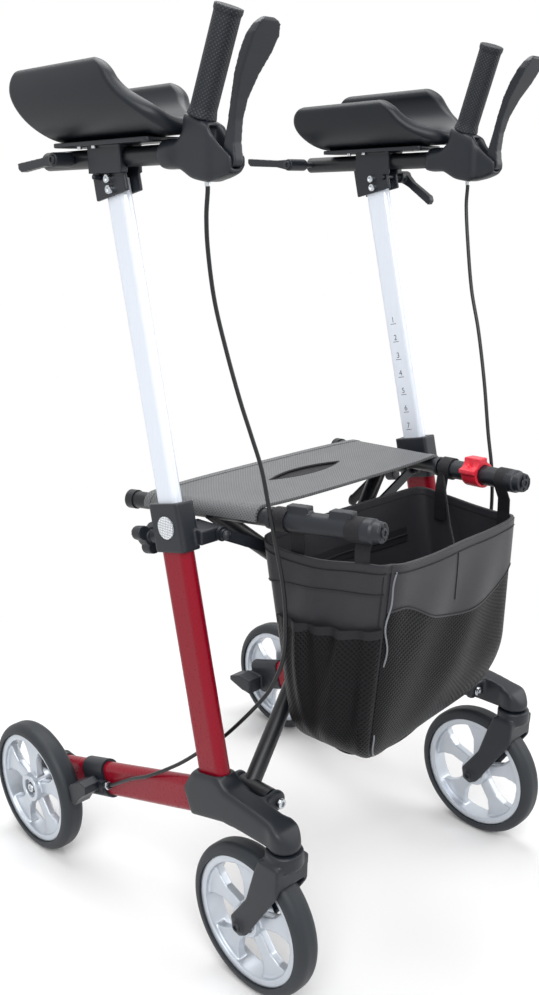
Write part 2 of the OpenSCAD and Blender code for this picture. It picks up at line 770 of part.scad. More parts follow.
// Pair of plates from the collar tongue to the cross tube that ends on the same side
module fold_link(side) {
    link_y = link_end_y + side * cross_gap;
    reach = norm([link_x - link_end_x, link_z - link_end_z]);
    turn = atan2(link_end_z - link_z, link_end_x - link_x);
    for (y = [link_y - link_front, link_y + link_rear + 4]) {
        translate([link_x, y, link_z]) rotate([0, -turn, 0]) rotate([90, 0, 0])
            linear_extrude(4) {
                translate([0, -7]) square([reach, 14]);
                circle(d = 18);
                translate([reach, 0]) circle(d = 16);
            }
    }
    along(link_x, link_z, 9, link_y - link_front - 1, link_y + link_rear + 1);
    along(link_x, link_z, 14, link_y - link_front - 9, link_y - link_front - 3);
    translate([link_x, link_y - link_front - 9, link_z]) sphere(d = 12);
}

// Seat cloth stretched over the rails, wrapped round their outer sides, with a pull slot
function rail_at(y) = rail_rear
    + (rail_front - rail_rear) * (y - rail_rear[1]) / (rail_front[1] - rail_rear[1]);

module seat_cloth() {
    rear = rail_at(seat_back_y);
    front = rail_at(seat_back_y - seat_depth);
    tip = atan2(front[2] - rear[2] - seat_rear_rise, seat_depth);
    slot_r = 116;
    translate([0, seat_back_y - y_mid, rear[2] + seat_lift + seat_rear_rise]) rotate([-tip, 0, 0])
        linear_extrude(seat_t) difference() {
            polygon([[-rear[0], 0], [rear[0], 0], [front[0], -seat_depth], [-front[0], -seat_depth]]);
            translate([0, -seat_depth * 0.49]) intersection() {
                translate([0, slot_r - 15]) circle(r = slot_r, $fn = 96);
                translate([0, 15 - slot_r]) circle(r = slot_r, $fn = 96);
            }
        }
    left_side() seat_wrap();
    right_side() seat_wrap();
}

// Hem of the seat on the outer upper quarter of a rail
module seat_wrap() {
    start = norm(rail_at(seat_back_y) - rail_rear);
    hem = seat_depth * rail_len / (rail_rear[1] - rail_front[1]);
    on_rail() translate([0, 0, start]) difference() {
        cylinder(r = seat_lift + seat_t + 0.6, h = hem);
        translate([0, 0, -1]) cylinder(r = seat_lift, h = hem + 2);
        translate([4, -40, -1]) cube([40, 80, hem + 2]);
        translate([-40, -43, -1]) cube([80, 40, hem + 2]);
    }
}

// Side view of the bag, drawn inside a given margin
module bag_outline(m) {
    floor_z = bag_top_z - bag_h;
    low_front = bag_front_y + 36;
    low_rear = bag_rear_y - 36;
    turn = 28;
    intersection() {
        polygon([
            [bag_front_y + m, bag_top_z + 1], [low_front + m, floor_z + m], [low_rear - m, floor_z + m],
            [bag_rear_y - m, bag_top_z + 1]
        ]);
        union() {
            translate([-200, floor_z + turn]) square([400, 400]);
            translate([low_front + turn, floor_z + m]) square([low_rear - low_front - 2 * turn, turn]);
            for (y = [low_front + turn, low_rear - turn]) {
                translate([y, floor_z + turn]) circle(r = turn - m, $fn = 64);
            }
        }
    }
}

// The bag from above: it hangs a little askew
module bag_plan(m) {
    polygon([
        [-bag_half_r + 4 + m, bag_front_y - 1], [bag_half_l - 4 - m, bag_front_y + 24 + m],
        [bag_half_l + 3 - m, bag_rear_y + 1], [-bag_half_r - 5 + m, bag_rear_y + 1]
    ]);
}

module bag_shell(m) {
    intersection() {
        side_profile(-200, 200) bag_outline(m);
        linear_extrude(bag_top_z + 10) bag_plan(m);
    }
}

// Loop round a sleeve with the strap that carries the bag
module bag_loop(w, half) {
    at = rail_rear + (rail_front - rail_rear) * w / rail_len;
    difference() {
        union() {
            on_rail() translate([0, 0, w - 5]) cylinder(d = cross_d + 9, h = 10);
            box(half - 7, half + 1, at[1] - 5, at[1] + 5, bag_top_z - 12, at[2] - 8);
            box(half - 7, at[0], at[1] - 5, at[1] + 5, at[2] - cross_d / 2 - 8, at[2] - 8);
        }
        on_rail() translate([0, 0, w - 30]) cylinder(d = cross_d + 4.6, h = 60);
    }
}

module bag_body() {
    translate([0, -y_mid, 0]) difference() {
        bag_shell(0);
        bag_shell(bag_wall);
        box(-200, 200, -200, 200, bag_top_z, bag_top_z + 50);
    }
}

module hanging_loops() {
    difference() {
        for (w = [rail_len - 134, rail_len - 30.5]) {
            left_side() bag_loop(w, bag_half_l);
            right_side() bag_loop(w, bag_half_r);
        }
        bag_body();
    }
}

// Nodes

module lower_tube_r() { color(red_paint) right_side() lower_tube(); }
module lower_tube_l() { color(red_paint) left_side() lower_tube(); }
module front_casting_r() { color(black_plastic) right_side() front_casting(); }
module front_casting_l() { color(black_plastic) left_side() front_casting(); }
module post_tube_r() { color(red_paint) right_side() post_tube(); }
module post_tube_l() { color(red_paint) left_side() post_tube(); }
module collar_r() { color(black_plastic) right_side() collar(link_end_y - cross_gap); }
module collar_l() { color(black_plastic) left_side() collar(link_end_y + cross_gap); }
module reflector_r() { color(silver) right_side() reflector(); }
module reflector_l() { color(silver) left_side() reflector(); }
module height_knob_r() { color(black_plastic) right_side() height_knob(); }
module height_knob_l() { color(black_plastic) left_side() height_knob(); }
module rear_end_r() { color(black_plastic) right_side() rear_end(); }
module rear_end_l() { color(black_plastic) left_side() rear_end(); }
module brake_clamp_r() { color(black_plastic) right_side() brake_clamp(); }
module brake_clamp_l() { color(black_plastic) left_side() brake_clamp(); }
module brake_arm_r() { color(black_plastic) right_side() brake_arm(); }
module brake_arm_l() { color(black_plastic) left_side() brake_arm(); }
module caster_fork_r() { color(black_plastic) right_side() caster_fork(); }
module caster_fork_l() { color(black_plastic) left_side() caster_fork(); }
module front_tyre_r() { color(tyre_black) right_side() tyre(front_x, 0); }
module front_tyre_l() { color(tyre_black) left_side() tyre(front_x, 0); }
module front_rim_r() { color(silver) right_side() rim(front_x, 0); }
module front_rim_l() { color(silver) left_side() rim(front_x, 0); }
module rear_tyre_r() { color(tyre_black) right_side() tyre(rear_x, rear_y); }
module rear_tyre_l() { color(tyre_black) left_side() tyre(rear_x, rear_y); }
module rear_rim_r() { color(silver) right_side() rim(rear_x, rear_y); }
module rear_rim_l() { color(silver) left_side() rim(rear_x, rear_y); }
module inner_post_r() { color(silver) right_side() inner_post(); }
module inner_post_l() { color(silver) left_side() inner_post(); }
module top_bracket_r() { color(black_plastic) right_side() top_bracket(stud_y_r); }
module top_bracket_l() { color(black_plastic) left_side() top_bracket(stud_y_l); }
module bracket_bolts_r() { color(zinc) right_side() bracket_bolts(); }
module bracket_bolts_l() { color(zinc) left_side() bracket_bolts(); }
module forearm_pad_r() { color(black_plastic) right_side() forearm_pad(); }
module forearm_pad_l() { color(black_plastic) left_side() forearm_pad(); }
module handle_tube_r() { color(black_plastic) right_side() handle_tube(stop_y_r); }
module handle_tube_l() { color(black_plastic) left_side() handle_tube(stop_y_l); }
module brake_housing_r() { color(black_plastic) right_side() brake_housing(); }
module brake_housing_l() { color(black_plastic) left_side() brake_housing(); }
module grip_r() { color(black_plastic) right_side() grip(); }
module grip_l() { color(black_plastic) left_side() grip(); }
module brake_lever_r() { color(black_plastic) right_side() brake_lever(); }
module brake_lever_l() { color(black_plastic) left_side() brake_lever(); }
module cross_bar_r() { color(black_plastic) translate([0, -y_mid, 0]) cross_bar(-1); }
module cross_bar_l() { color(black_plastic) translate([0, -y_mid, 0]) cross_bar(1); }
module fold_link_r() { color(black_plastic) right_side() fold_link(-1); }
module fold_link_l() { color(black_plastic) left_side() fold_link(1); }

module brake_cable_r() {
    color(tyre_black) right_side() swept_tube(smooth_route(at_height(cable_route_r), 5), cable_d, 8);
}

module brake_cable_l() {
    color(tyre_black) left_side() swept_tube(smooth_route(at_height(cable_route_l), 5), cable_d, 8);
}

module stop_lever_r() {
    color(black_plastic) right_side() translate([bar_x - 14, stop_y_r, bar_z])
        clamp_lever(8, 40, 26, 26, 80, 4);
}

module stop_lever_l() {
    color(black_plastic) left_side() translate([bar_x + 14, stop_y_l, bar_z]) mirror([1, 0, 0])
        clamp_lever(8, 60, 42, 35, 90, -5);
}

module bracket_lever_r() {
    color(black_plastic) translate([-bar_x - 20, stud_y_r - y_mid, stud_z])
        clamp_lever(6, 42, 38, 20, 62, 4);
}

module bracket_lever_l() {
    color(black_plastic) translate([bar_x - 20, stud_y_l - y_mid, stud_z])
        clamp_lever(6, 42, 38, 20, 62, 144);
}

module rail_grip_r() {
    color(black_plastic) right_side() {
        rail_grip();
        saddle_humps();
    }
}

module rail_grip_l() {
    color(black_plastic) left_side() rail_grip();
}

module fold_latch() { color(latch_red) left_side() latch_body(); }
module seat() { color(mesh_grey) seat_cloth(); }
module bag() { color(nylon) bag_body(); }
module bag_loops() { color(nylon) hanging_loops(); }

lower_tube_r();
lower_tube_l();
front_casting_r();
front_casting_l();
post_tube_r();
post_tube_l();
collar_r();
collar_l();
reflector_r();
reflector_l();
height_knob_r();
height_knob_l();
rear_end_r();
rear_end_l();
brake_clamp_r();
brake_clamp_l();
brake_arm_r();
brake_arm_l();
caster_fork_r();
caster_fork_l();
front_tyre_r();
front_tyre_l();
front_rim_r();
front_rim_l();
rear_tyre_r();
rear_tyre_l();
rear_rim_r();
rear_rim_l();
inner_post_r();
inner_post_l();
top_bracket_r();
top_bracket_l();
bracket_bolts_r();
bracket_bolts_l();
forearm_pad_r();
forearm_pad_l();
handle_tube_r();
handle_tube_l();
brake_housing_r();
brake_housing_l();
grip_r();
grip_l();
brake_lever_r();
brake_lever_l();
stop_lever_r();
stop_lever_l();
bracket_lever_r();
bracket_lever_l();
brake_cable_r();
brake_cable_l();
cross_bar_r();
cross_bar_l();
rail_grip_r();
rail_grip_l();
fold_link_r();
fold_link_l();
fold_latch();
seat();
bag();
bag_loops();
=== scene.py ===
"""Looks of an upright walker with forearm pads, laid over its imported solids."""
import json
import math

import bpy
from mathutils import Matrix, Vector


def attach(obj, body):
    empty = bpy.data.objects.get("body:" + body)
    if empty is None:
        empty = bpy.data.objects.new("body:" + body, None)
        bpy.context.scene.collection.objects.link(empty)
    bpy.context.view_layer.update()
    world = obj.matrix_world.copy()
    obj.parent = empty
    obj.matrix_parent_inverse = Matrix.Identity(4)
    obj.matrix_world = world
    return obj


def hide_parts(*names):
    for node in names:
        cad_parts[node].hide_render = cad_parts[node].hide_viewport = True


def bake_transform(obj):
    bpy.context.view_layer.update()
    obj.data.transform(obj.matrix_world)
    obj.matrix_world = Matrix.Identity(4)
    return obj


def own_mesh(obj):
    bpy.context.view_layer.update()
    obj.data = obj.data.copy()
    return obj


bl_info = {
    "name": "Upright Walker",
    "version": (1, 0, 0),
    "blender": (4, 5, 0),
    "location": "View3D > Sidebar > Walker",
    "description": "Finishes and soft goods of a folding upright walker",
    "category": "Object",
}

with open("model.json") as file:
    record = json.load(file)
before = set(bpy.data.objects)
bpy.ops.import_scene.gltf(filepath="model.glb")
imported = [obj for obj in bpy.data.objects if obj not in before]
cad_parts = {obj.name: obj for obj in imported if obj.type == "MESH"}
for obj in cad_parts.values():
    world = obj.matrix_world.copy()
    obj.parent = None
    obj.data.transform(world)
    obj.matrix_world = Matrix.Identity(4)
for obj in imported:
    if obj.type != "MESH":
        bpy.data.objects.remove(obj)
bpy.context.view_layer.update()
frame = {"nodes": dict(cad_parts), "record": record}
NODES = frame["nodes"]
SIDES = {"r": -1, "l": 1}

# Metres in a millimetre
MM = 0.001

# Millimetres from the front axle to the middle of the walker, along its length
AXLE_TO_MIDDLE = 215

# Camera: where it stands (millimetres from the front axle), where it looks (degrees) and its lens
CAMERA_SPOT = (-987, -812, 960)
CAMERA_YAW = 44.29
CAMERA_PITCH = 15.89
CAMERA_ROLL = -0.98
CAMERA_LENS = 37.56
CAMERA_SHIFT = (-0.0043, -0.0035)

# Brake cable routes in millimetres, both as on the left side: where they start, run and end
CABLE_START = [(234, 52, 986), (234, 52, 970)]
CABLE_RUN = {
    "r": [
        (232, 58, 942), (226, 64, 905), (218, 65, 852), (210, 57, 797), (203, 44, 741), (196, 34, 700),
        (190, 24, 660), (187, 16, 613), (186, 8, 575), (184, 0, 533), (185, -6, 491), (189, -7, 440),
        (194, 6, 400), (201, 24, 370),
    ],
    "l": [
        (232.5, 52, 945), (227, 44, 901), (220, 30, 836), (214, 12, 781), (206, -6, 714), (198, -21, 646),
        (193, -33, 594), (191, -36, 540), (191, -30, 490), (193, -12, 440), (200, 16, 385),
    ],
}
CABLE_END = [
    (213, 74, 312), (222, 107, 283), (231, 150, 247), (243.5, 200, 214), (245.5, 240, 193), (246, 289, 162),
]
# Points along a cable for each point of its route, and the wall of the ferrule at its upper end
CABLE_STEPS = 6
FERRULE_T = 0.7

# Axles in millimetres: height, the rear one's place and outer end, and the radius of the wheels' bores
AXLE_Z = 100
REAR_AXLE_Y = 458
REAR_AXLE_END = 276
BORE_R = 6.9

# Posts: foot of the left one, its lean backwards and its tilt inwards, and its bracket's place along it
POST_FOOT = (240.5, 67.5, 277)
POST_LEAN = 11.6
POST_TILT = 0.6
BRACKET_UP = 703
# Screws of the bracket: heights above its foot, and their places out and ahead of the post's axis
BRACKET_SCREWS = (7, 19)
BRACKET_FACE = 16.5
BRACKET_AHEAD = 3

# Other screws: both faces of a caster fork, and the hinge of a cross bar on its casting
FORK_OUTER = 271.5
FORK_INNER = 212.5
HINGE_X = 207
HINGE_Z = 250
HINGE_FRONT = -16
HINGE_REAR = 70
# Pivots of the clamp levers: how far out, along, and if their heads face outwards or inwards
STOP_HEAD = {"r": (274, 282, 1), "l": (173, 335, -1)}
STOP_Z = 1008
CLAMP_HEAD = {"r": (198, 228, -1), "l": (274, 188, 1)}
CLAMP_Z = 987
# Nut on the cable's adjuster: its place, its axis and its rings, each a radius, a height and its flats
NUT_SPOT = (246, 293, 160.3)
NUT_AXIS = Vector((0, 20, -8))
NUT_RINGS = [(3.6, 0, 0), (5.6, 0, 6), (6.2, 0.8, 6), (6.2, 4.2, 6), (5.6, 5, 6), (3.6, 5, 0)]

# Seat rails of the left side, rear and front end of the axis, in millimetres
RAIL_REAR = Vector((201, 257, 582.7))
RAIL_FRONT = Vector((141, -116, 603))

# Bag: corners of its rim seen from above (near rear, near front, far front, far rear) and its heights
BAG_CORNERS = [Vector((-148, 80)), Vector((-139, -128)), Vector((148, -107)), Vector((150, 58))]
BAG_RIM_Z = 565
BAG_FLOOR_Z = 297
# How far each corner leans in at the floor, the height of its round and the round's reach across
BAG_LEAN = (50, 36, 14, 36)
BAG_ROUND = (42, 42, 96, 70)
BAG_REACH = (36, 34, 84, 60)
# Middle of its floor, sag of the floor's edge and dip within it, belly of its walls and the ripples in them
BAG_MIDDLE = Vector((2, -35))
BAG_SAG = 11
FLOOR_DIP = 4
BAG_BELLY = 6
BAG_RIPPLE = 3.0
# Share of the shell's grid that makes its walls, where the rest makes its floor
BAG_WALLS = 0.8
# Height of the rim along the near side, the front, the far side and the rear: it hangs between the loops
BAG_RIM = (
    [(0, 557), (0.2, 549), (0.5, 550), (0.8, 559), (1, 564)],
    [(0, 564), (0.25, 557), (0.5, 556), (0.75, 554), (1, 555)],
    [(0, 555), (0.25, 553), (0.6, 558), (1, 565)],
    [(0, 565), (0.5, 562), (1, 557)],
)
# Heights by share of a side: the front band's lower edge, the side band's seam and the pocket's edge
BAND_EDGE = [(0, 505), (0.13, 503), (0.33, 474), (0.57, 459), (0.8, 466), (0.96, 486), (1, 492)]
SIDE_SEAM = [(0, 503), (0.2, 508), (0.55, 516), (1, 528)]
POCKET_EDGE = [(0, 459), (0.2, 462), (0.6, 469), (1, 481)]
REAR_SEAM_Z = 530
# Share of the near side at which the pocket starts, and its length; size and count of its gathers and folds
POCKET_START = 0.1
POCKET_SPAN = 0.88
POCKET_FOLD = 3.4
GATHER_COUNT = 6
FOLD_COUNT = 3.1
# Piping up the near front edge: heights of its points, radius, and how far it stands out, by height
PIPING_Z = range(556, 300, -4)
PIPING_R = 1.1
PIPING_OUT = [(296, 1.4), (338, 1.6), (352, -2), (424, -2), (440, 1.6), (476, 2.8), (560, 2.8)]
# Thickness of the panels' cloth, and the radius of a sewn line
PANEL_T = 1.2
SEAM_R = 0.6
# Pocket's elastic and rim's hem: thickness, width, and height of the upper edge above the line it follows
ELASTIC_T = 2.2
ELASTIC_UP = 5
RIM_HEM_T = 4.5
RIM_HEM_UP = 1.5
EDGE_WIDTH = 11
# Loops: shares of the rail from its rear end, distance of the lower ends from the walker's middle,
# radius and turn round the rail in degrees, half width and thickness
LOOP_AT = (0.645, 0.919)
LOOP_X = {-1: 140, 1: 144}
LOOP_R = 14.4
LOOP_TURN = (200, -150)
LOOP_HALF = 10
LOOP_T = 1.6
# Tie from the front wall to the left rail: how far it hangs, its half width and its thickness
TIE_DROP = 12
TIE_HALF = Vector((6, 6, 0))
TIE_T = 1.4
# Zip inside the rear wall: its start and length round the bag, lower edge, width and the coil's radius
ZIP_START = 3.12
ZIP_SPAN = 0.76
ZIP_Z = 494
ZIP_WIDTH = 20
COIL_R = 1.6

# Seat: back edge, depth, height, rise at the back, and its wrap round a rail
SEAT_BACK_Y = 225
SEAT_DEPTH = 179
SEAT_Z = 600
SEAT_REAR_RISE = 6
SEAT_WRAP_R = 12.9
SEAT_WRAP = math.radians(105) * SEAT_WRAP_R
# Hems: their places and their width as shares of the depth, and how much thicker than the cloth they are
HEM_AT = (0.035, 0.965)
HEM_SHARE = 0.06
HEM_EXTRA = 1.6
# Pull slot between two arcs: its place as a share of the depth, their radius, its half width,
# and the radius of its binding
SLOT_AT = 0.49
SLOT_R = 148.5
SLOT_HALF = 17
BINDING_R = 1.7
# Dark strap under the slot that stands in for the shade seen through it: length, width, depth below
# the cloth and thickness
SHADE_STRAP_LENGTH = 164
SHADE_STRAP_WIDTH = 38
SHADE_STRAP_DROP = 3.2
SHADE_STRAP_T = 1.4

# Forearm pad of the left side: centre of its round section and its ends
PAD_CENTRE = (236, 1088)
PAD_FRONT_Y = 82
PAD_BACK_Y = 333
PAD_WIDTH = 122
# Edge of the pad seen from the side: height above its lowest line, and how far the end draws back
PAD_FRONT_EDGE = [(0, 0), (10, 2), (18, 9), (26, 22), (36, 38), (48, 51), (58, 58), (66, 64), (74, 70)]
PAD_BACK_EDGE = [(0, 40), (4, 31), (18, 15), (32, 5), (45, 0), (56, 1), (66, 3), (74, 6)]
# Radius of the four corners of its walls
PAD_CORNER = 20
# Straight part of its walls above the round section
PAD_LIP = 1

# Grip of the left side: foot, lean forward and lean inward in degrees, and radius
GRIP_FOOT = (234, 58, 1043)
GRIP_LEAN = 21.9
GRIP_TILT = 3.0
GRIP_R = 14.5

# Height marks up the post from its foot: their count, the lowest, their step and the face they lie on
MARK_COUNT = 7
MARK_FOOT = 355
MARK_STEP = 26.5
MARK_FACE = 7.6
# Size of their figures, how far they lie off the face's middle, and length, width and drop of their lines
MARK_SIZE = 11.5
MARK_SHIFT = 2
TICK_LENGTH = 10
TICK_WIDTH = 0.8
TICK_DROP = 2.5

# Light of the surround on the walker, where what the camera sees is 1
WORLD_LIGHT = 0.4
# Floor in metres: its size, and how far out its shadows start to fade and are gone
FLOOR_SIZE = 14
SHADOW_NEAR = 0.45
SHADOW_FAR = 1.1
LAMP_AIM = Vector((0, 0, 0.6))


def at(x, y, z):
    """A point in metres from millimetres, with y counted from the front axle."""
    return Vector((x, y - AXLE_TO_MIDDLE, z)) * MM


def post_axes(sign):
    """Foot of a post, and its directions outwards, backwards and upwards."""
    lean, tilt = math.radians(POST_LEAN), math.radians(POST_TILT)
    out = Vector((sign * math.cos(tilt), math.sin(tilt) * math.sin(lean), math.sin(tilt) * math.cos(lean)))
    back = Vector((0, math.cos(lean), -math.sin(lean)))
    up = Vector((-sign * math.sin(tilt), math.cos(tilt) * math.sin(lean), math.cos(tilt) * math.cos(lean)))
    return at(sign * POST_FOOT[0], POST_FOOT[1], POST_FOOT[2]), out, back, up


def linear(code):
    """Linear colour of an sRGB hex code."""
    parts = [int(code[i:i + 2], 16) / 255 for i in (1, 3, 5)]
    return tuple(c / 12.92 if c <= 0.04045 else ((c + 0.055) / 1.055) ** 2.4 for c in parts)


def ease(points, x):
    """Height of a smooth curve through points at x, flat beyond its ends."""
    if x <= points[0][0]:
        return points[0][1]
    if x >= points[-1][0]:
        return points[-1][1]
    i = max(k for k in range(len(points) - 1) if points[k][0] <= x)

    def slope(k):
        a, b = points[max(k - 1, 0)], points[min(k + 1, len(points) - 1)]
        return (b[1] - a[1]) / (b[0] - a[0])

    (x0, y0), (x1, y1) = points[i], points[i + 1]
    w = x1 - x0
    t = (x - x0) / w
    return (
        y0 * (2 * t ** 3 - 3 * t ** 2 + 1) + slope(i) * w * (t ** 3 - 2 * t ** 2 + t)
        + y1 * (3 * t ** 2 - 2 * t ** 3) + slope(i + 1) * w * (t ** 3 - t ** 2)
    )


def smooth_route(points, steps):
    """Points of a curve that passes through every route point."""
    last = len(points) - 1
    out = []
    for i in range(last):
        a, b = Vector(points[max(i - 1, 0)]), Vector(points[i])
        c, d = Vector(points[i + 1]), Vector(points[min(i + 2, last)])
        for k in range(steps):
            t = k / steps
            out.append(0.5 * (
                2 * b + (c - a) * t + (2 * a - 5 * b + 4 * c - d) * t * t + (3 * b - a - 3 * c + d) * t ** 3
            ))
    return out + [Vector(points[last])]


# Materials


def add_node(tree, kind, inputs=None, to=None, output=0, **settings):
    """Adds a shader node with its settings, sets or links its inputs, and links an output to a socket."""
    node = tree.nodes.new("ShaderNode" + kind)
    for key, value in settings.items():
        setattr(node, key, value)
    for name, value in (inputs or {}).items():
        if isinstance(value, bpy.types.NodeSocket):
            tree.links.new(value, node.inputs[name])
        else:
            node.inputs[name].default_value = value
    if to is not None:
        tree.links.new(node.outputs[output], to)
    return node


def per_mm(size):
    """Texture scale that gives one pattern step in that many millimetres."""
    return 1000 / size


def wave_mm(size):
    """Scale of a wave texture that gives one wave in that many millimetres."""
    return per_mm(size) * math.pi / 10


# Shader inputs by the short names that the materials use
SOCKETS = {
    "roughness": "Roughness",
    "metallic": "Metallic",
    "specular": "Specular IOR Level",
    "coat": "Coat Weight",
    "sheen": "Sheen Weight",
}


def shade(colour, factor=1.0):
    """A colour made darker or lighter, with its alpha."""
    return (*(min(c * factor, 1.0) for c in colour), 1)


def start_material(name, **values):
    """A new material with its shader values set, as (material, tree, shader, object coordinates)."""
    material = bpy.data.materials.new(name)
    material.use_nodes = True
    tree = material.node_tree
    shader = tree.nodes["Principled BSDF"]
    for key, value in values.items():
        shader.inputs[SOCKETS[key]].default_value = value
    place = add_node(tree, "TexCoord")
    return material, tree, shader, place


def finish_surface(tree, shader, pattern, dark, light, rough=None, depth_mm=None, strength=1.0, drift=None):
    """Mixes two colours by drift or else by the pattern, and lets the pattern set roughness and relief."""
    add_node(
        tree, "Mix", {0: drift or pattern, 6: dark, 7: light},
        to=shader.inputs["Base Color"], output=2, data_type="RGBA",
    )
    if rough:
        add_node(
            tree, "MapRange", {"Value": pattern, "To Min": rough[0], "To Max": rough[1]},
            to=shader.inputs["Roughness"],
        )
    if depth_mm:
        add_node(
            tree, "Bump", {"Height": pattern, "Strength": strength, "Distance": depth_mm * MM},
            to=shader.inputs["Normal"],
        )


def grained(name, colour, spread, grain_mm, depth_mm, rough, cloud_mm=40, **values):
    """A moulded or coated surface: a fine grain in relief and gloss, and slow drifts of colour."""
    material, tree, shader, place = start_material(name, **values)
    grain, cloud = (
        add_node(
            tree, "TexNoise", {"Vector": place.outputs["Object"], "Scale": per_mm(size), "Detail": detail}
        )
        for size, detail in ((grain_mm, 3.0), (cloud_mm, 2.0))
    )
    finish_surface(
        tree, shader, grain.outputs["Fac"], shade(colour, 1 - spread), shade(colour, 1 + spread),
        rough, depth_mm, 0.5, drift=cloud.outputs["Fac"],
    )
    return material


def red_powder_coat():
    # Gloss powder coat on extruded aluminium: deep red, a faint orange peel, a clear highlight
    return grained(
        "red_powder_coat", colours().tubes, spread=0.04, grain_mm=6.0, depth_mm=0.001, rough=(0.27, 0.28),
        cloud_mm=200, specular=0.24,
    )


def black_powder_coat():
    # Satin black powder coat on steel tube: an even, slightly pebbled skin
    return grained(
        "black_powder_coat", colours().cross, spread=0.2, grain_mm=1.2, depth_mm=0.03, rough=(0.3, 0.42),
        specular=0.4,
    )


def black_glass_nylon():
    # Glass filled nylon mouldings: charcoal with a fine spark eroded grain and a soft sheen;
    # the blue cast in their colour is painted reflection of a bluish surround
    return grained(
        "black_glass_nylon", colours().mouldings, spread=0.2, grain_mm=1.0, depth_mm=0.04, rough=(0.36, 0.5),
        specular=0.42,
    )


def tyre_polyurethane():
    # Foamed polyurethane tyre: dull grey black with a fine skin
    return grained(
        "tyre_polyurethane", colours().tyres, spread=0.15, grain_mm=1.6, depth_mm=0.06, rough=(0.46, 0.6),
        specular=0.4,
    )


def rim_silver_abs():
    # Silver filled ABS moulding: pale metallic flake under a satin skin
    return grained(
        "rim_silver_abs", colours().rims, spread=0.1, grain_mm=1.2, depth_mm=0.02, rough=(0.26, 0.38),
        metallic=0.65,
    )


def pad_skin_foam():
    # Self skinned polyurethane foam: smooth blue black with a fine leather grain
    return grained(
        "pad_skin_foam", colours().pads, spread=0.15, grain_mm=1.8, depth_mm=0.05, rough=(0.36, 0.46),
        specular=0.32,
    )


def cable_sleeve():
    # Extruded vinyl sleeve over the brake wire
    return grained(
        "cable_sleeve", colours().cables, spread=0.2, grain_mm=1.5, depth_mm=0.04, rough=(0.28, 0.4),
        specular=0.4,
    )


def latch_red_nylon():
    # Bright red nylon moulding
    return grained(
        "latch_red_nylon", colours().latch, spread=0.1, grain_mm=1.2, depth_mm=0.05, rough=(0.3, 0.42),
    )


def zinc_plate():
    # Bright zinc plate on steel: a cool mirror broken by fine crystals
    return grained(
        "zinc_plate", colours().fittings, spread=0.15, grain_mm=1.0, depth_mm=0.02, rough=(0.18, 0.32),
        metallic=1.0,
    )


def anodised_aluminium():
    # Satin anodised extrusion: fine draw lines that run up the tube
    material, tree, shader, place = start_material("anodised_aluminium", metallic=0.25)
    stretch = add_node(tree, "Mapping", {"Vector": place.outputs["Object"], "Scale": (1.0, 1.0, 0.02)})
    lines = add_node(
        tree, "TexNoise", {"Vector": stretch.outputs["Vector"], "Scale": per_mm(1.2), "Detail": 2.0}
    )
    finish_surface(
        tree, shader, lines.outputs["Fac"], shade(colours().posts, 0.93), shade(colours().posts, 1.05),
        rough=(0.3, 0.42), depth_mm=0.02, strength=0.4,
    )
    return material


def reflector_prism():
    # Acrylic reflector: a honeycomb of small corner prisms under a clear skin
    material, tree, shader, place = start_material("reflector_prism", roughness=0.12, coat=0.6)
    cells = add_node(
        tree, "TexVoronoi", {"Vector": place.outputs["Object"], "Scale": per_mm(3.2), "Randomness": 0.15},
        feature="DISTANCE_TO_EDGE",
    )
    spread = add_node(tree, "MapRange", {"Value": cells.outputs["Distance"], "From Max": 0.25})
    finish_surface(
        tree, shader, spread.outputs["Result"], shade(linear("#9aa2ab")), shade(linear("#eef1f4")),
        depth_mm=0.5,
    )
    return material


def crossed_waves(tree, vector, step_mm, turn, operation):
    """Two sets of waves that cross at right angles, turned by degrees and put together as one value."""
    rotated = add_node(tree, "Mapping", {"Vector": vector, "Rotation": (0, 0, math.radians(turn))})
    rows = [
        add_node(
            tree, "TexWave", {"Vector": rotated.outputs["Vector"], "Scale": wave_mm(step_mm)},
            wave_type="BANDS", bands_direction=direction, wave_profile="SIN",
        )
        for direction in ("X", "Y")
    ]
    both = add_node(tree, "Math", {i: row.outputs["Fac"] for i, row in enumerate(rows)}, operation=operation)
    return both.outputs[0]


def grip_space(sign):
    """The grip's own axes: its foot, with Z up along the grip."""
    lean, tilt = math.radians(GRIP_LEAN), math.radians(GRIP_TILT)
    axis = Vector((-sign * math.sin(tilt), -math.sin(lean) * math.cos(tilt), math.cos(lean) * math.cos(tilt)))
    turn = axis.to_track_quat("Z", "Y").to_matrix().to_4x4()
    return Matrix.Translation(at(sign * GRIP_FOOT[0], GRIP_FOOT[1], GRIP_FOOT[2])) @ turn


def grip_rubber(side):
    # Moulded rubber sleeve: a diamond knurl, 3.2 mm from row to row; its colour is painted shade
    # in the grooves and painted highlight on the ridges
    material, tree, shader, place = start_material("grip_rubber_" + side, specular=0.4)
    inward = grip_space(SIDES[side]).inverted()
    local = add_node(tree, "Mapping", {
        "Vector": place.outputs["Object"],
        "Location": inward.to_translation(),
        "Rotation": inward.to_euler("XYZ"),
    })
    split = add_node(tree, "SeparateXYZ", {"Vector": local.outputs["Vector"]})
    angle = add_node(tree, "Math", {0: split.outputs["Y"], 1: split.outputs["X"]}, operation="ARCTAN2")
    girth = add_node(tree, "Math", {0: angle.outputs[0], 1: GRIP_R * MM}, operation="MULTIPLY")
    flat = add_node(tree, "CombineXYZ", {"X": girth.outputs[0], "Y": split.outputs["Z"]})
    knurl = crossed_waves(tree, flat.outputs["Vector"], step_mm=3.2, turn=45, operation="MULTIPLY")
    # Darker grooves and lighter ridges: painted shade and painted highlight of the knurl
    finish_surface(
        tree, shader, knurl, shade(colours().grips, 0.6), shade(colours().grips, 1.5),
        rough=(0.62, 0.45), depth_mm=0.5, strength=0.8,
    )
    return material


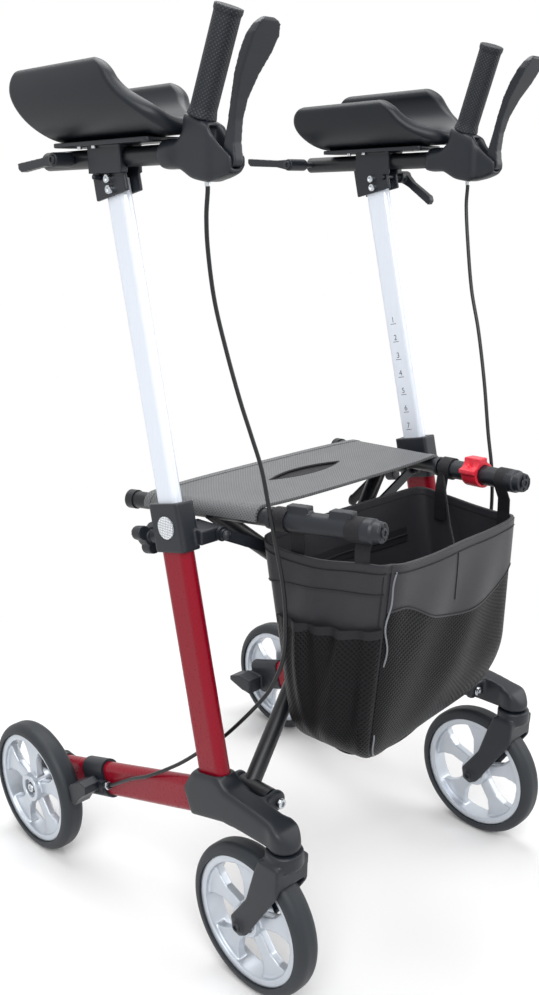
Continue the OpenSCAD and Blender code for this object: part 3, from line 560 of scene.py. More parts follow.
def woven(name, colour, hole, thread_mm, depth_mm, rough, turn=0.0, open_share=0.35, **values):
    """A cloth on its own UV map, in metres: threads both ways, and holes where neither thread lies."""
    material, tree, shader, place = start_material(name, roughness=rough, **values)
    raised = crossed_waves(tree, place.outputs["UV"], thread_mm, turn, operation="MAXIMUM")
    solid = add_node(
        tree, "MapRange", {"Value": raised, "From Min": open_share, "From Max": open_share + 0.25}
    )
    drift = add_node(
        tree, "TexNoise", {"Vector": place.outputs["UV"], "Scale": per_mm(35), "Detail": 2.0}
    )
    thread = add_node(
        tree, "Mix", {0: drift.outputs["Fac"], 6: shade(colour, 0.85), 7: shade(colour, 1.15)},
        data_type="RGBA",
    )
    finish_surface(
        tree, shader, raised, shade(colour, hole), thread.outputs[2],
        depth_mm=depth_mm, strength=0.7, drift=solid.outputs["Result"],
    )
    return material


def seat_coated_mesh():
    # Vinyl coated polyester mesh: threads about 1.5 mm apart, drawn at 3.2 mm so that they show
    return woven(
        "seat_coated_mesh", colours().seat, hole=0.35, thread_mm=3.2, depth_mm=0.4, rough=0.5,
        turn=45, open_share=0.3,
    )


def bag_nylon_cloth():
    # Plain woven nylon: threads under 1 mm, drawn at 1.8 mm, with a soft sheen on the folds
    return woven(
        "bag_nylon_cloth", colours().bag, hole=0.75, thread_mm=1.8, depth_mm=0.12, rough=0.48,
        open_share=0.1, specular=0.35, sheen=0.08,
    )


def bag_spacer_mesh():
    # Knitted polyester spacer mesh: staggered holes about 3 mm apart, drawn at 5 mm so that they show
    return woven(
        "bag_spacer_mesh", colours().bag_mesh, hole=0.02, thread_mm=5.0, depth_mm=0.9, rough=0.42,
        turn=45, open_share=0.66, specular=0.15,
    )


def strap_webbing():
    # Woven nylon webbing: ribs across the tape
    return woven(
        "strap_webbing", colours().webbing, hole=0.5, thread_mm=2.2, depth_mm=0.3, rough=0.6,
        open_share=0.2, specular=0.3,
    )


def piping_grey():
    # Reflective grey piping cord with a fine wound look
    return grained(
        "piping_grey", linear("#74777d"), spread=0.25, grain_mm=1.2, depth_mm=0.08, rough=(0.35, 0.5),
    )


def print_ink():
    # Dark screen print on the scale
    return grained(
        "print_ink", linear("#434851"), spread=0.15, grain_mm=1.0, depth_mm=0.01, rough=(0.45, 0.55),
    )


def studio_paper():
    # Seamless paper: it takes the shadow near the walker and is plain white to the eye further out
    material, tree, shader, place = start_material("studio_paper", roughness=0.9, specular=0.0)
    tooth = add_node(
        tree, "TexNoise", {"Vector": place.outputs["Object"], "Scale": per_mm(400), "Detail": 2.0}
    )
    finish_surface(tree, shader, tooth.outputs["Fac"], shade(linear("#f6f6f6")), shade(linear("#fbfbfb")))
    reach = add_node(tree, "VectorMath", {0: place.outputs["Object"]}, operation="LENGTH")
    far = add_node(
        tree, "MapRange", {"Value": reach.outputs["Value"], "From Min": SHADOW_NEAR, "From Max": SHADOW_FAR},
        interpolation_type="SMOOTHSTEP",
    )
    share = add_node(tree, "Math", {0: far.outputs["Result"], 1: eye_ray(tree)}, operation="MULTIPLY")
    glow = add_node(tree, "Emission")
    add_node(
        tree, "MixShader", {0: share.outputs[0], 1: shader.outputs[0], 2: glow.outputs[0]},
        to=tree.nodes["Material Output"].inputs["Surface"],
    )
    return material


def eye_ray(tree):
    """One for rays that the camera sees, straight, mirrored or through glass, and nought for the rest."""
    path = add_node(tree, "LightPath")
    seen = path.outputs["Is Camera Ray"]
    for kind in ("Is Glossy Ray", "Is Transmission Ray"):
        seen = add_node(tree, "Math", {0: seen, 1: path.outputs[kind]}, operation="MAXIMUM").outputs[0]
    return seen


# Modelling helpers


def deselect():
    """Leaves nothing selected, so that the next operator acts on new pieces only."""
    if bpy.context.object and bpy.context.object.mode != "OBJECT":
        bpy.ops.object.mode_set(mode="OBJECT")
    bpy.ops.object.select_all(action="DESELECT")


def pick(piece):
    """Makes one piece the selected and active one."""
    deselect()
    piece.select_set(True)
    bpy.context.view_layer.objects.active = piece


def sheet_grid(name, across, along, shape, size):
    """A grid laid over a surface: shape(u, v) gives its points, size is its flat size on the UV map."""
    deselect()
    bpy.ops.mesh.primitive_grid_add(x_subdivisions=across, y_subdivisions=along, size=1, calc_uvs=True)
    piece = bpy.context.object
    piece.name = name
    piece.data.name = name
    for vert in piece.data.vertices:
        vert.co = shape(vert.co.x + 0.5, vert.co.y + 0.5)
    for loop in piece.data.uv_layers.active.data:
        loop.uv = (loop.uv[0] * size[0], loop.uv[1] * size[1])
    return piece


def apply_modifier(piece, kind, **settings):
    """Adds a modifier with its settings and applies it."""
    pick(piece)
    modifier = piece.modifiers.new(kind.title(), kind)
    for key, value in settings.items():
        setattr(modifier, key, value)
    bpy.ops.object.modifier_apply(modifier=modifier.name)


def weld(piece, distance=0.00002):
    """Merges the doubled points of a closed surface and points its faces outwards."""
    pick(piece)
    bpy.ops.object.mode_set(mode="EDIT")
    bpy.ops.mesh.select_all(action="SELECT")
    bpy.ops.mesh.remove_doubles(threshold=distance)
    bpy.ops.mesh.normals_make_consistent(inside=False)
    bpy.ops.object.mode_set(mode="OBJECT")


def smooth(piece, angle=40):
    """Smooth shading, with edges sharper than the angle kept."""
    pick(piece)
    bpy.ops.object.shade_smooth_by_angle(angle=math.radians(angle))


def join(pieces, name):
    """One piece made of several."""
    deselect()
    for piece in pieces:
        piece.select_set(True)
    bpy.context.view_layer.objects.active = pieces[0]
    if len(pieces) > 1:
        bpy.ops.object.join()
    pieces[0].name = name
    return pieces[0]


def tube(name, points, radius, closed=False, sides=5):
    """A round cord along points in metres, as a mesh with capped ends."""
    curve = bpy.data.curves.new(name, "CURVE")
    curve.dimensions = "3D"
    curve.bevel_depth = radius
    curve.bevel_resolution = sides
    curve.use_fill_caps = not closed
    spline = curve.splines.new("POLY")
    spline.points.add(len(points) - 1)
    for point, place in zip(spline.points, points):
        point.co = (*place, 1)
    spline.use_cyclic_u = closed
    piece = bpy.data.objects.new(name, curve)
    bpy.context.collection.objects.link(piece)
    pick(piece)
    bpy.ops.object.convert(target="MESH")
    piece = bpy.context.object
    weld(piece)
    smooth(piece, 60)
    return piece


def turned(name, rings, spot, axis, closed=False):
    """A small turned part on a spot: rings of (radius, height along the axis, flats or 0) in millimetres."""
    count = 24
    turn = axis.to_track_quat("Z", "Y")
    points, faces = [], []
    for radius, height, flats in rings:
        for k in range(count):
            angle = 2 * math.pi * k / count
            reach = radius
            if flats:
                part = 2 * math.pi / flats
                reach = radius * math.cos(part / 2) / math.cos(angle % part - part / 2)
            place = Vector((reach * math.cos(angle), reach * math.sin(angle), height))
            points.append(spot + turn @ place * MM)
    for i in range(len(rings) if closed else len(rings) - 1):
        up = (i + 1) % len(rings) * count
        for k in range(count):
            ahead = (k + 1) % count
            faces.append((i * count + k, i * count + ahead, up + ahead, up + k))
    if not closed:
        faces.append(tuple(reversed(range(count))))
        faces.append(tuple(range(len(points) - count, len(points))))
    mesh = bpy.data.meshes.new(name)
    mesh.from_pydata(points, [], faces)
    piece = bpy.data.objects.new(name, mesh)
    bpy.context.collection.objects.link(piece)
    weld(piece, distance=0.000001)
    smooth(piece, 35)
    return piece


def socket_head(radius, height):
    """Rings of a cap screw's head with a hexagon socket."""
    return [
        (radius, -0.6, 0), (radius, height * 0.6, 0), (radius * 0.93, height * 0.88, 0),
        (radius * 0.8, height, 0), (radius * 0.58, height, 6), (radius * 0.55, height * 0.3, 6),
    ]


def even_steps(low, high, count=48):
    """Even steps from low to high."""
    return [low + (high - low) * k / count for k in range(count + 1)]


def cloth(name, grid, shape, size, thickness_mm, angle=40, offset=0):
    """A grid laid over a surface and given the thickness of cloth."""
    piece = sheet_grid(name, *grid, shape, size)
    apply_modifier(piece, "SOLIDIFY", thickness=thickness_mm * MM, offset=offset)
    smooth(piece, angle)
    return piece


def ribbon(name, points, widths, thickness_mm):
    """A flat strap along points, each with the half width vector of the strap there."""
    steps = len(points) - 1

    def shape(u, v):
        i = min(int(v * steps), steps - 1)
        t = v * steps - i
        middle = points[i].lerp(points[i + 1], t)
        return middle + widths[i].lerp(widths[i + 1], t) * (2 * u - 1)

    run = sum((b - a).length for a, b in zip(points, points[1:]))
    return cloth(name, (4, steps * 2), shape, (2 * widths[0].length, run), thickness_mm)


def dress(piece, material, body):
    """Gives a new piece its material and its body."""
    piece.data.materials.clear()
    piece.data.materials.append(material)
    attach(piece, body)


# Settings


def length(name, description, default):
    """A length setting with its default in metres."""
    return bpy.props.FloatProperty(name=name, description=description, default=default, unit="LENGTH")


def colour(name, description, code):
    """A colour setting with its default as a hex code."""
    return bpy.props.FloatVectorProperty(
        name=name, description=description, default=linear(code), size=3, min=0, max=1, subtype="COLOR"
    )


class WalkerSizes(bpy.types.PropertyGroup):
    """Sizes of the soft pieces."""

    pad_wall: length("Pad wall", "Thickness of the foam gutter", 0.018)
    pad_roll: bpy.props.FloatProperty(
        name="Pad roll", description="Turn that lifts the pad's outer wall", default=math.radians(11),
        subtype="ANGLE",
    )
    seat_cloth: length("Seat cloth", "Thickness of the seat mesh", 0.0024)
    seat_sag: length("Seat sag", "How far the seat hangs in the middle", 0.003)
    bag_cloth: length("Bag cloth", "Thickness of the bag's wall", 0.0018)
    pocket_puff: length("Pocket puff", "How far the mesh pocket stands out", 0.012)
    cable_d: length("Cable", "Diameter of the brake cable", 0.005)


class WalkerColours(bpy.types.PropertyGroup):
    """Colours of the finishes."""

    tubes: colour("Tubes", "Gloss coat of the side frames", "#86051e")
    cross: colour("Cross bars", "Satin coat of the cross bars and handle tubes", "#16181c")
    # Charcoal of the nylon, with a blue cast that is painted reflection of a bluish surround
    mouldings: colour("Mouldings", "Glass filled nylon of castings and levers", "#181c23")
    tyres: colour("Tyres", "Foamed polyurethane of the tyres", "#262a2f")
    rims: colour("Rims", "Silver moulding of the wheels", "#c3c9d1")
    posts: colour("Posts", "Anodised inner posts", "#e6ecf6")
    pads: colour("Pads", "Skin of the forearm pads", "#10151c")
    grips: colour("Grips", "Rubber of the hand grips", "#1d2128")
    cables: colour("Cables", "Sleeve of the brake cables", "#16171a")
    latch: colour("Latch", "Fold latch", "#d9263a")
    fittings: colour("Fittings", "Zinc plated screws", "#c6cace")
    seat: colour("Seat", "Coated mesh of the seat", "#66686a")
    bag: colour("Bag", "Nylon of the bag", "#26262b")
    bag_mesh: colour("Bag mesh", "Knitted mesh of the bag's pockets", "#151518")
    webbing: colour("Webbing", "Straps and bindings", "#1a1a1e")


def sizes():
    """The sizes in use."""
    return bpy.context.scene.walker_sizes


def colours():
    """The colours in use."""
    return bpy.context.scene.walker_colours


# Pieces


# Solids of the frame by finish, named without their side
FINISHES = {
    red_powder_coat: ("lower_tube", "post_tube"),
    black_powder_coat: ("handle_tube", "cross_bar"),
    anodised_aluminium: ("inner_post",),
    zinc_plate: ("bracket_bolts",),
    reflector_prism: ("reflector",),
    tyre_polyurethane: ("front_tyre", "rear_tyre"),
    rim_silver_abs: ("front_rim", "rear_rim"),
    black_glass_nylon: (
        "front_casting", "collar", "height_knob", "rear_end", "brake_clamp", "brake_arm", "caster_fork",
        "top_bracket", "brake_housing", "brake_lever", "stop_lever", "bracket_lever", "rail_grip",
        "fold_link",
    ),
}


# Mouldings with rounded edges, by slot: size of the cells, how often they are smoothed, and growth after that
ROUNDED = {
    "black_plastic": {
        "front_casting": (1.8, 60, 0.5),
        "caster_fork": (1.6, 14, 0.2),
        "brake_housing": (1.3, 110, 1.0),
        "brake_lever": (1.1, 6, 0),
        "stop_lever": (1.0, 6, 0),
        "bracket_lever": (1.0, 6, 0),
        "rail_grip": (1.2, 5, 0),
        "collar": (1.3, 4, 0),
        "top_bracket": (1.1, 4, 0),
        "brake_arm": (1.0, 4, 0),
        "rear_end": (1.4, 6, 0),
        "height_knob": (1.0, 5, 0),
    },
    "rim_silver": {"front_rim": (1.2, 7, 0), "rear_rim": (1.2, 7, 0)},
    "grip_rubber": {"grip": (0.9, 8, 0)},
}
# Body that each node rides on
BODY_OF = {node: body for body, nodes in frame["record"]["behaviour"]["bodies"].items() for node in nodes}


def rounded(node, slot, cell_mm, passes, grow_mm):
    """A copy of a solid with its edges rounded, as a moulding has them."""
    source = NODES[node]
    piece = bpy.data.objects.new(node + "_moulding", source.data.copy())
    bpy.context.collection.objects.link(piece)
    weld(piece)
    apply_modifier(piece, "REMESH", mode="VOXEL", voxel_size=cell_mm * MM)
    apply_modifier(piece, "SMOOTH", factor=0.5, iterations=passes)
    if slot == "rim_silver":
        free_bore(piece, REAR_AXLE_Y if node.startswith("rear") else 0)
    if grow_mm:
        apply_modifier(piece, "DISPLACE", strength=grow_mm * MM, mid_level=0)
    apply_modifier(piece, "DECIMATE", ratio=0.4)
    smooth(piece, 60)
    dress(piece, source.data.materials[0], BODY_OF[node])
    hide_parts(node)


def free_bore(piece, axle_y):
    """Opens a rounded wheel's bore again, so that it runs free of its axle."""
    centre = at(0, axle_y, AXLE_Z)
    for vert in piece.data.vertices:
        reach = Vector((0, vert.co.y - centre.y, vert.co.z - centre.z))
        if 0 < reach.length < BORE_R * MM:
            vert.co += reach.normalized() * (BORE_R * MM) - reach


def paint(node, material):
    """Puts a material on a solid of the frame."""
    slots = NODES[node].data.materials
    slots.clear()
    slots.append(material)


class WALKER_OT_frame_finish(bpy.types.Operator):
    """Finish the tubes, mouldings, wheels and fittings of the frame"""

    bl_idname = "walker.frame_finish"
    bl_label = "Frame Finish"

    def execute(self, context):
        for make, names in FINISHES.items():
            material = make()
            for name in names:
                for side in SIDES:
                    paint(name + "_" + side, material)
        paint("fold_latch", latch_red_nylon())
        for side in SIDES:
            paint("grip_" + side, grip_rubber(side))
        return {"FINISHED"}


class WALKER_OT_mouldings(bpy.types.Operator):
    """Round the edges of the mouldings"""

    bl_idname = "walker.mouldings"
    bl_label = "Mouldings"

    def execute(self, context):
        for slot, names in ROUNDED.items():
            for name, settings in names.items():
                for side in SIDES:
                    rounded(name + "_" + side, slot, *settings)
        rounded("fold_latch", "latch_red", cell_mm=1.0, passes=6, grow_mm=0)
        return {"FINISHED"}


class WALKER_OT_fasteners(bpy.types.Operator):
    """Fit the screws and adjuster nuts"""

    bl_idname = "walker.fasteners"
    bl_label = "Fasteners"

    def execute(self, context):
        black, bright = black_glass_nylon(), zinc_plate()
        for side, sign in SIDES.items():
            for kind, body, spot, axis, radius, height, metal in self.heads(side, sign):
                x, y, z = spot
                screw = turned(kind + "_" + side, socket_head(radius, height), at(sign * x, y, z), axis)
                dress(screw, bright if metal else black, body)
            foot, outward, back, up = post_axes(sign)
            for level in BRACKET_SCREWS:
                for face in (-1, 1):
                    spot = up * (BRACKET_UP + level) + outward * (face * BRACKET_FACE) - back * BRACKET_AHEAD
                    head = socket_head(5.0, 2.2)
                    screw = turned("bracket_screw_" + side, head, foot + spot * MM, outward * face)
                    dress(screw, bright, "support_" + side)
            x, y, z = NUT_SPOT
            nut = turned("adjuster_nut_" + side, NUT_RINGS, at(sign * x, y, z), NUT_AXIS, closed=True)
            dress(nut, bright, "frame_" + side)
        return {"FINISHED"}

    def heads(self, side, sign):
        """Screws of a side: name, body, spot as on the left, axis, the head's radius and height, if bright."""
        out, front = Vector((sign, 0, 0)), Vector((0, -1, 0))
        along = (RAIL_FRONT - RAIL_REAR).normalized()
        rail_end = RAIL_FRONT + along
        along.x *= sign
        rail_body = "cross_l" if side == "r" else "cross_r"
        stop_x, stop_y, stop_face = STOP_HEAD[side]
        clamp_x, clamp_y, clamp_face = CLAMP_HEAD[side]
        bodies = ("frame_", "fork_", "stop_", "bracket_clamp_")
        frame_body, fork, stop, clamp = (name + side for name in bodies)
        return (
            ("axle_screw_outer", fork, (FORK_OUTER, 0, AXLE_Z), out, 6.5, 2.4, False),
            ("axle_screw_inner", fork, (FORK_INNER, 0, AXLE_Z), -out, 6.5, 2.4, False),
            ("rear_axle_screw", frame_body, (REAR_AXLE_END, REAR_AXLE_Y, AXLE_Z), out, 7.0, 2.6, True),
            ("hinge_screw_front", frame_body, (HINGE_X, HINGE_FRONT, HINGE_Z), front, 6.5, 3.0, True),
            ("hinge_screw_rear", frame_body, (HINGE_X, HINGE_REAR, HINGE_Z), -front, 6.5, 3.0, True),
            ("stop_screw", stop, (stop_x, stop_y, STOP_Z), out * stop_face, 5.6, 2.0, False),
            ("clamp_screw", clamp, (clamp_x, clamp_y, CLAMP_Z), out * clamp_face, 5.6, 2.0, False),
            ("rail_screw", rail_body, rail_end, along, 6.0, 2.0, False),
        )


def pad_middle(sign, u, v):
    """Point and outward normal on the middle surface of a forearm pad, and the distance to its edges."""
    wall = sizes().pad_wall / MM
    radius = (PAD_WIDTH - wall) / 2
    lip = PAD_LIP + wall / 2
    reach = radius * math.pi / 2 + lip
    run = (2 * u - 1) * reach
    over = max(abs(run) - radius * math.pi / 2, 0)
    angle = math.copysign(min(abs(run) / radius, math.pi / 2), run)
    x, z = radius * math.sin(angle), over - radius * math.cos(angle)
    nx, nz = math.sin(angle), -math.cos(angle)
    height = z + PAD_WIDTH / 2
    near = 1 - min((reach - abs(run)) / PAD_CORNER, 1)
    corner = PAD_CORNER * (1 - math.sqrt(1 - near ** 2))
    front = PAD_FRONT_Y + ease(PAD_FRONT_EDGE, height) + corner
    back = PAD_BACK_Y - ease(PAD_BACK_EDGE, height) - corner
    y = front + (back - front) * v
    edge = min(reach - abs(run), (back - front) * min(v, 1 - v))
    c, s = math.cos(sizes().pad_roll), math.sin(sizes().pad_roll)
    x, z, nx, nz = x * c - z * s, x * s + z * c, nx * c - nz * s, nx * s + nz * c
    return at(sign * (PAD_CENTRE[0] + x), y, PAD_CENTRE[1] + z), Vector((sign * nx, 0, nz)), edge


def crowd(t):
    """Moves even steps closer together at both ends."""
    return 0.5 - 0.5 * math.cos(math.pi * t)


def forearm_pad(side):
    """A foam gutter with rounded lips: two skins that meet along the edge."""
    sign = SIDES[side]
    wall = sizes().pad_wall
    skins = []
    for face in (-1, 1):

        def shape(u, v):
            point, normal, edge = pad_middle(sign, crowd(u), crowd(v))
            near = min(edge * MM / (wall / 2), 1)
            return point + normal * (face * wall / 2 * math.sqrt(max(1 - (1 - near) ** 2, 0)))

        skins.append(sheet_grid("pad_skin", 64, 72, shape, (0.19, 0.25)))
    pad = join(skins, "foam_pad_" + side)
    weld(pad)
    smooth(pad, 80)
    return pad


class WALKER_OT_forearm_pads(bpy.types.Operator):
    """Mould the two forearm pads"""

    bl_idname = "walker.forearm_pads"
    bl_label = "Forearm Pads"

    def execute(self, context):
        material = pad_skin_foam()
        for side in SIDES:
            pad = forearm_pad(side)
            dress(pad, material, "support_" + side)
            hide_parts("forearm_pad_" + side)
        return {"FINISHED"}


class WALKER_OT_brake_cables(bpy.types.Operator):
    """Run the brake cables from the handles to the rear brakes"""

    bl_idname = "walker.brake_cables"
    bl_label = "Brake Cables"

    def execute(self, context):
        sleeve, metal = cable_sleeve(), zinc_plate()
        for side, sign in SIDES.items():
            route = CABLE_START + CABLE_RUN[side] + CABLE_END
            path = smooth_route([at(sign * x, y, z) for x, y, z in route], CABLE_STEPS)
            cable = tube("cable_" + side, path, sizes().cable_d / 2)
            cable.data.materials.append(sleeve)
            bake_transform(cable)
            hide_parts("brake_cable_" + side)
            ferrule = tube("cable_ferrule_" + side, [path[2], path[5]], sizes().cable_d / 2 + FERRULE_T * MM)
            dress(ferrule, metal, "handle_" + side)
        return {"FINISHED"}


def rail_at(y):
    """Point on the left rail's axis at a length along the walker, in millimetres."""
    return RAIL_REAR.lerp(RAIL_FRONT, (y - RAIL_REAR.y) / (RAIL_FRONT.y - RAIL_REAR.y))


def seat_point(u, v):
    """Point on the seat's middle surface: u from the right rail to the left, v from the back to the front."""
    rail = rail_at(SEAT_BACK_Y - SEAT_DEPTH * v)
    run = (2 * u - 1) * (rail.x + SEAT_WRAP)
    if abs(run) <= rail.x:
        share = run / rail.x
        rise = SEAT_REAR_RISE * (1 - v) - sizes().seat_sag / MM
        x, z = run, SEAT_WRAP_R + rise * (1 - share ** 4)
    else:
        angle = (abs(run) - rail.x) / SEAT_WRAP_R
        x = math.copysign(rail.x + SEAT_WRAP_R * math.sin(angle), run)
        z = SEAT_WRAP_R * math.cos(angle)
    return at(x, rail.y, rail.z + z)


def on_seat(x, depth):
    """Point on the seat, in millimetres from its middle line and from its back edge."""
    reach = rail_at(SEAT_BACK_Y - depth).x + SEAT_WRAP
    return seat_point(0.5 + 0.5 * x / reach, depth / SEAT_DEPTH)


def slot_edge(share):
    """Point on the seat slot's lens shaped edge, in the seat's own plane, in millimetres."""
    half = math.sqrt(SLOT_R ** 2 - (SLOT_R - SLOT_HALF) ** 2)
    turn = share * 2
    x = half * (1 - 2 * (turn % 1))
    y = math.sqrt(SLOT_R ** 2 - x ** 2) - (SLOT_R - SLOT_HALF)
    return (x, y) if turn < 1 else (-x, -y)


def hang_between_rails(piece, material):
    """Gives cloth that hangs between the rails its material, and bakes its place into its mesh."""
    piece.data.materials.clear()
    piece.data.materials.append(material)
    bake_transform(piece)


class WALKER_OT_seat(bpy.types.Operator):
    """Stretch the mesh seat between the rails"""

    bl_idname = "walker.seat"
    bl_label = "Mesh Seat"

    def execute(self, context):
        mesh_cloth, tape = seat_coated_mesh(), strap_webbing()
        width = 2 * (rail_at(SEAT_BACK_Y).x + SEAT_WRAP) * MM
        seat = sheet_grid("mesh_seat", 140, 60, seat_point, (width, SEAT_DEPTH * MM))
        apply_modifier(seat, "SOLIDIFY", thickness=sizes().seat_cloth, offset=0)
        self.cut_slot(seat)
        smooth(seat, 60)
        hang_between_rails(seat, mesh_cloth)
        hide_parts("seat")
        # The trim holds the slot's binding and the dark strap that stands in for the shade under the slot
        trim = join([self.slot_binding(), self.slot_shade_strap()], "seat_trim")
        hang_between_rails(trim, tape)
        hems = join([self.hem(v) for v in HEM_AT], "seat_hems")
        hang_between_rails(hems, mesh_cloth)
        return {"FINISHED"}

    def cut_slot(self, seat):
        """Cuts the pull slot out of the seat, where two cylinders meet."""
        middle = at(0, SEAT_BACK_Y - SEAT_DEPTH * SLOT_AT, SEAT_Z)
        cutters = []
        for sign in (-1, 1):
            deselect()
            bpy.ops.mesh.primitive_cylinder_add(
                vertices=192, radius=SLOT_R * MM, depth=0.1,
                location=middle + Vector((0, sign * (SLOT_R - SLOT_HALF) * MM, 0)),
            )
            cutters.append(bpy.context.object)
        apply_modifier(cutters[0], "BOOLEAN", operation="INTERSECT", object=cutters[1], solver="EXACT")
        apply_modifier(seat, "BOOLEAN", operation="DIFFERENCE", object=cutters[0], solver="EXACT")
        for cutter in cutters:
            bpy.data.objects.remove(cutter)

    def slot_binding(self):
        """Bound edge round the pull slot."""
        steps = 96
        edge = [slot_edge(k / steps) for k in range(steps)]
        points = [on_seat(x, SEAT_DEPTH * SLOT_AT - y) for x, y in edge]
        return tube("slot_binding", points, BINDING_R * MM, closed=True, sides=3)

    def slot_shade_strap(self):
        """Dark webbing strap just under the slot: a sheet that stands in for the shade seen through the slot.
        """
        def shape(a, b):
            depth = SEAT_DEPTH * SLOT_AT + (b - 0.5) * SHADE_STRAP_WIDTH
            return on_seat((a - 0.5) * SHADE_STRAP_LENGTH, depth) - Vector((0, 0, SHADE_STRAP_DROP * MM))

        return cloth("seat_slot_shade", (60, 12), shape, (SHADE_STRAP_LENGTH * MM, SHADE_STRAP_WIDTH * MM), SHADE_STRAP_T, offset=-1)

    def hem(self, v):
        """Sewn hem along the front or the back edge."""
        def shape(a, b):
            return seat_point(a, v + (b - 0.5) * HEM_SHARE)

        return cloth("seat_hem", (120, 4), shape, (0.42, 0.011), sizes().seat_cloth / MM + HEM_EXTRA)


def bag_ring(s, z):
    """Point on the bag's wall at a height, s from 0 to 4 round its corners from the near rear one."""
    k = (BAG_RIM_Z - z) / (BAG_RIM_Z - BAG_FLOOR_Z)
    corners = []
    for corner, lean, height, reach in zip(BAG_CORNERS, BAG_LEAN, BAG_ROUND, BAG_REACH):
        low = min(max((BAG_FLOOR_Z + height - z) / height, 0), 1)
        tuck = reach * (1 - math.sqrt(1 - low ** 2))
        inward = 1 if corner.x < 0 else -1
        toward = 1 if corner.y < 0 else -1
        corners.append(Vector((corner.x + inward * tuck, corner.y + toward * (lean * k + tuck * 0.5))))
    total = Vector((0, 0))
    taps = 9
    spread = 0.1
    for i in range(taps):
        place = (s + spread * (2 * i / (taps - 1) - 1)) % 4
        side = int(place) % 4
        total += corners[side].lerp(corners[(side + 1) % 4], place - int(place))
    return total / taps


def bag_rim(s):
    """Height of the rim: it hangs a little between the loops."""
    return ease(BAG_RIM[int(s) % 4], s - int(s))


def bag_low(s):
    """Height of the floor's edge: it sags between the corners."""
    return BAG_FLOOR_Z - BAG_SAG * math.sin(math.pi * (s % 1)) ** 1.5


def bag_wall(s, z, out=0.0):
    """Point on the bag in metres, moved outwards by out millimetres."""
    here = bag_ring(s, z)
    ahead = bag_ring((s + 0.02) % 4, z) - bag_ring((s - 0.02) % 4, z)
    normal = Vector((-ahead.y, ahead.x)).normalized()
    if normal.dot(here - BAG_MIDDLE) < 0:
        normal = -normal
    k = min(max((BAG_RIM_Z - z) / (BAG_RIM_Z - BAG_FLOOR_Z), 0), 1)
    a = s % 1
    ripple = BAG_RIPPLE * math.sin(2 * math.pi * (2.4 * a + 1.1 * k) + 1.7 * int(s))
    belly = (BAG_BELLY + ripple) * math.sin(math.pi * k) * math.sin(math.pi * a)
    here = here + normal * (out + belly)
    return at(here.x, here.y, z)


def bag_surface(s, t):
    """Point on the whole bag: t runs from 0 at the rim over the floor's edge to 1 at the floor's middle."""
    if t <= BAG_WALLS:
        rim = bag_rim(s)
        return bag_wall(s, rim + (bag_low(s) - rim) * (t / BAG_WALLS))
    q = (1 - t) / (1 - BAG_WALLS)
    edge = bag_wall(s, bag_low(s))
    middle = at(*BAG_MIDDLE, BAG_FLOOR_Z - BAG_SAG - 2)
    return middle.lerp(edge, q) - Vector((0, 0, FLOOR_DIP * MM * (1 - q * q) * q))


def pocket_out(a, k):
    """How far the gathered pocket stands out: a along the side, k from its edge down to the floor."""
    ends = min(max(math.sin(math.pi * (a - POCKET_START) / POCKET_SPAN), 0), 1) ** 0.5
    puff = sizes().pocket_puff / MM * (0.45 + 0.55 * math.sin(math.pi * min(k * 1.15, 1)))
    gathers = math.sin(2 * math.pi * GATHER_COUNT * a + 1.6 * math.sin(5 * a)) * math.exp(-1.8 * k)
    folds = math.sin(2 * math.pi * FOLD_COUNT * a + 2.2 * k) * math.sin(math.pi * k)
    return 1.5 + (puff + POCKET_FOLD * (gathers + folds)) * ends * (1 - k ** 4)


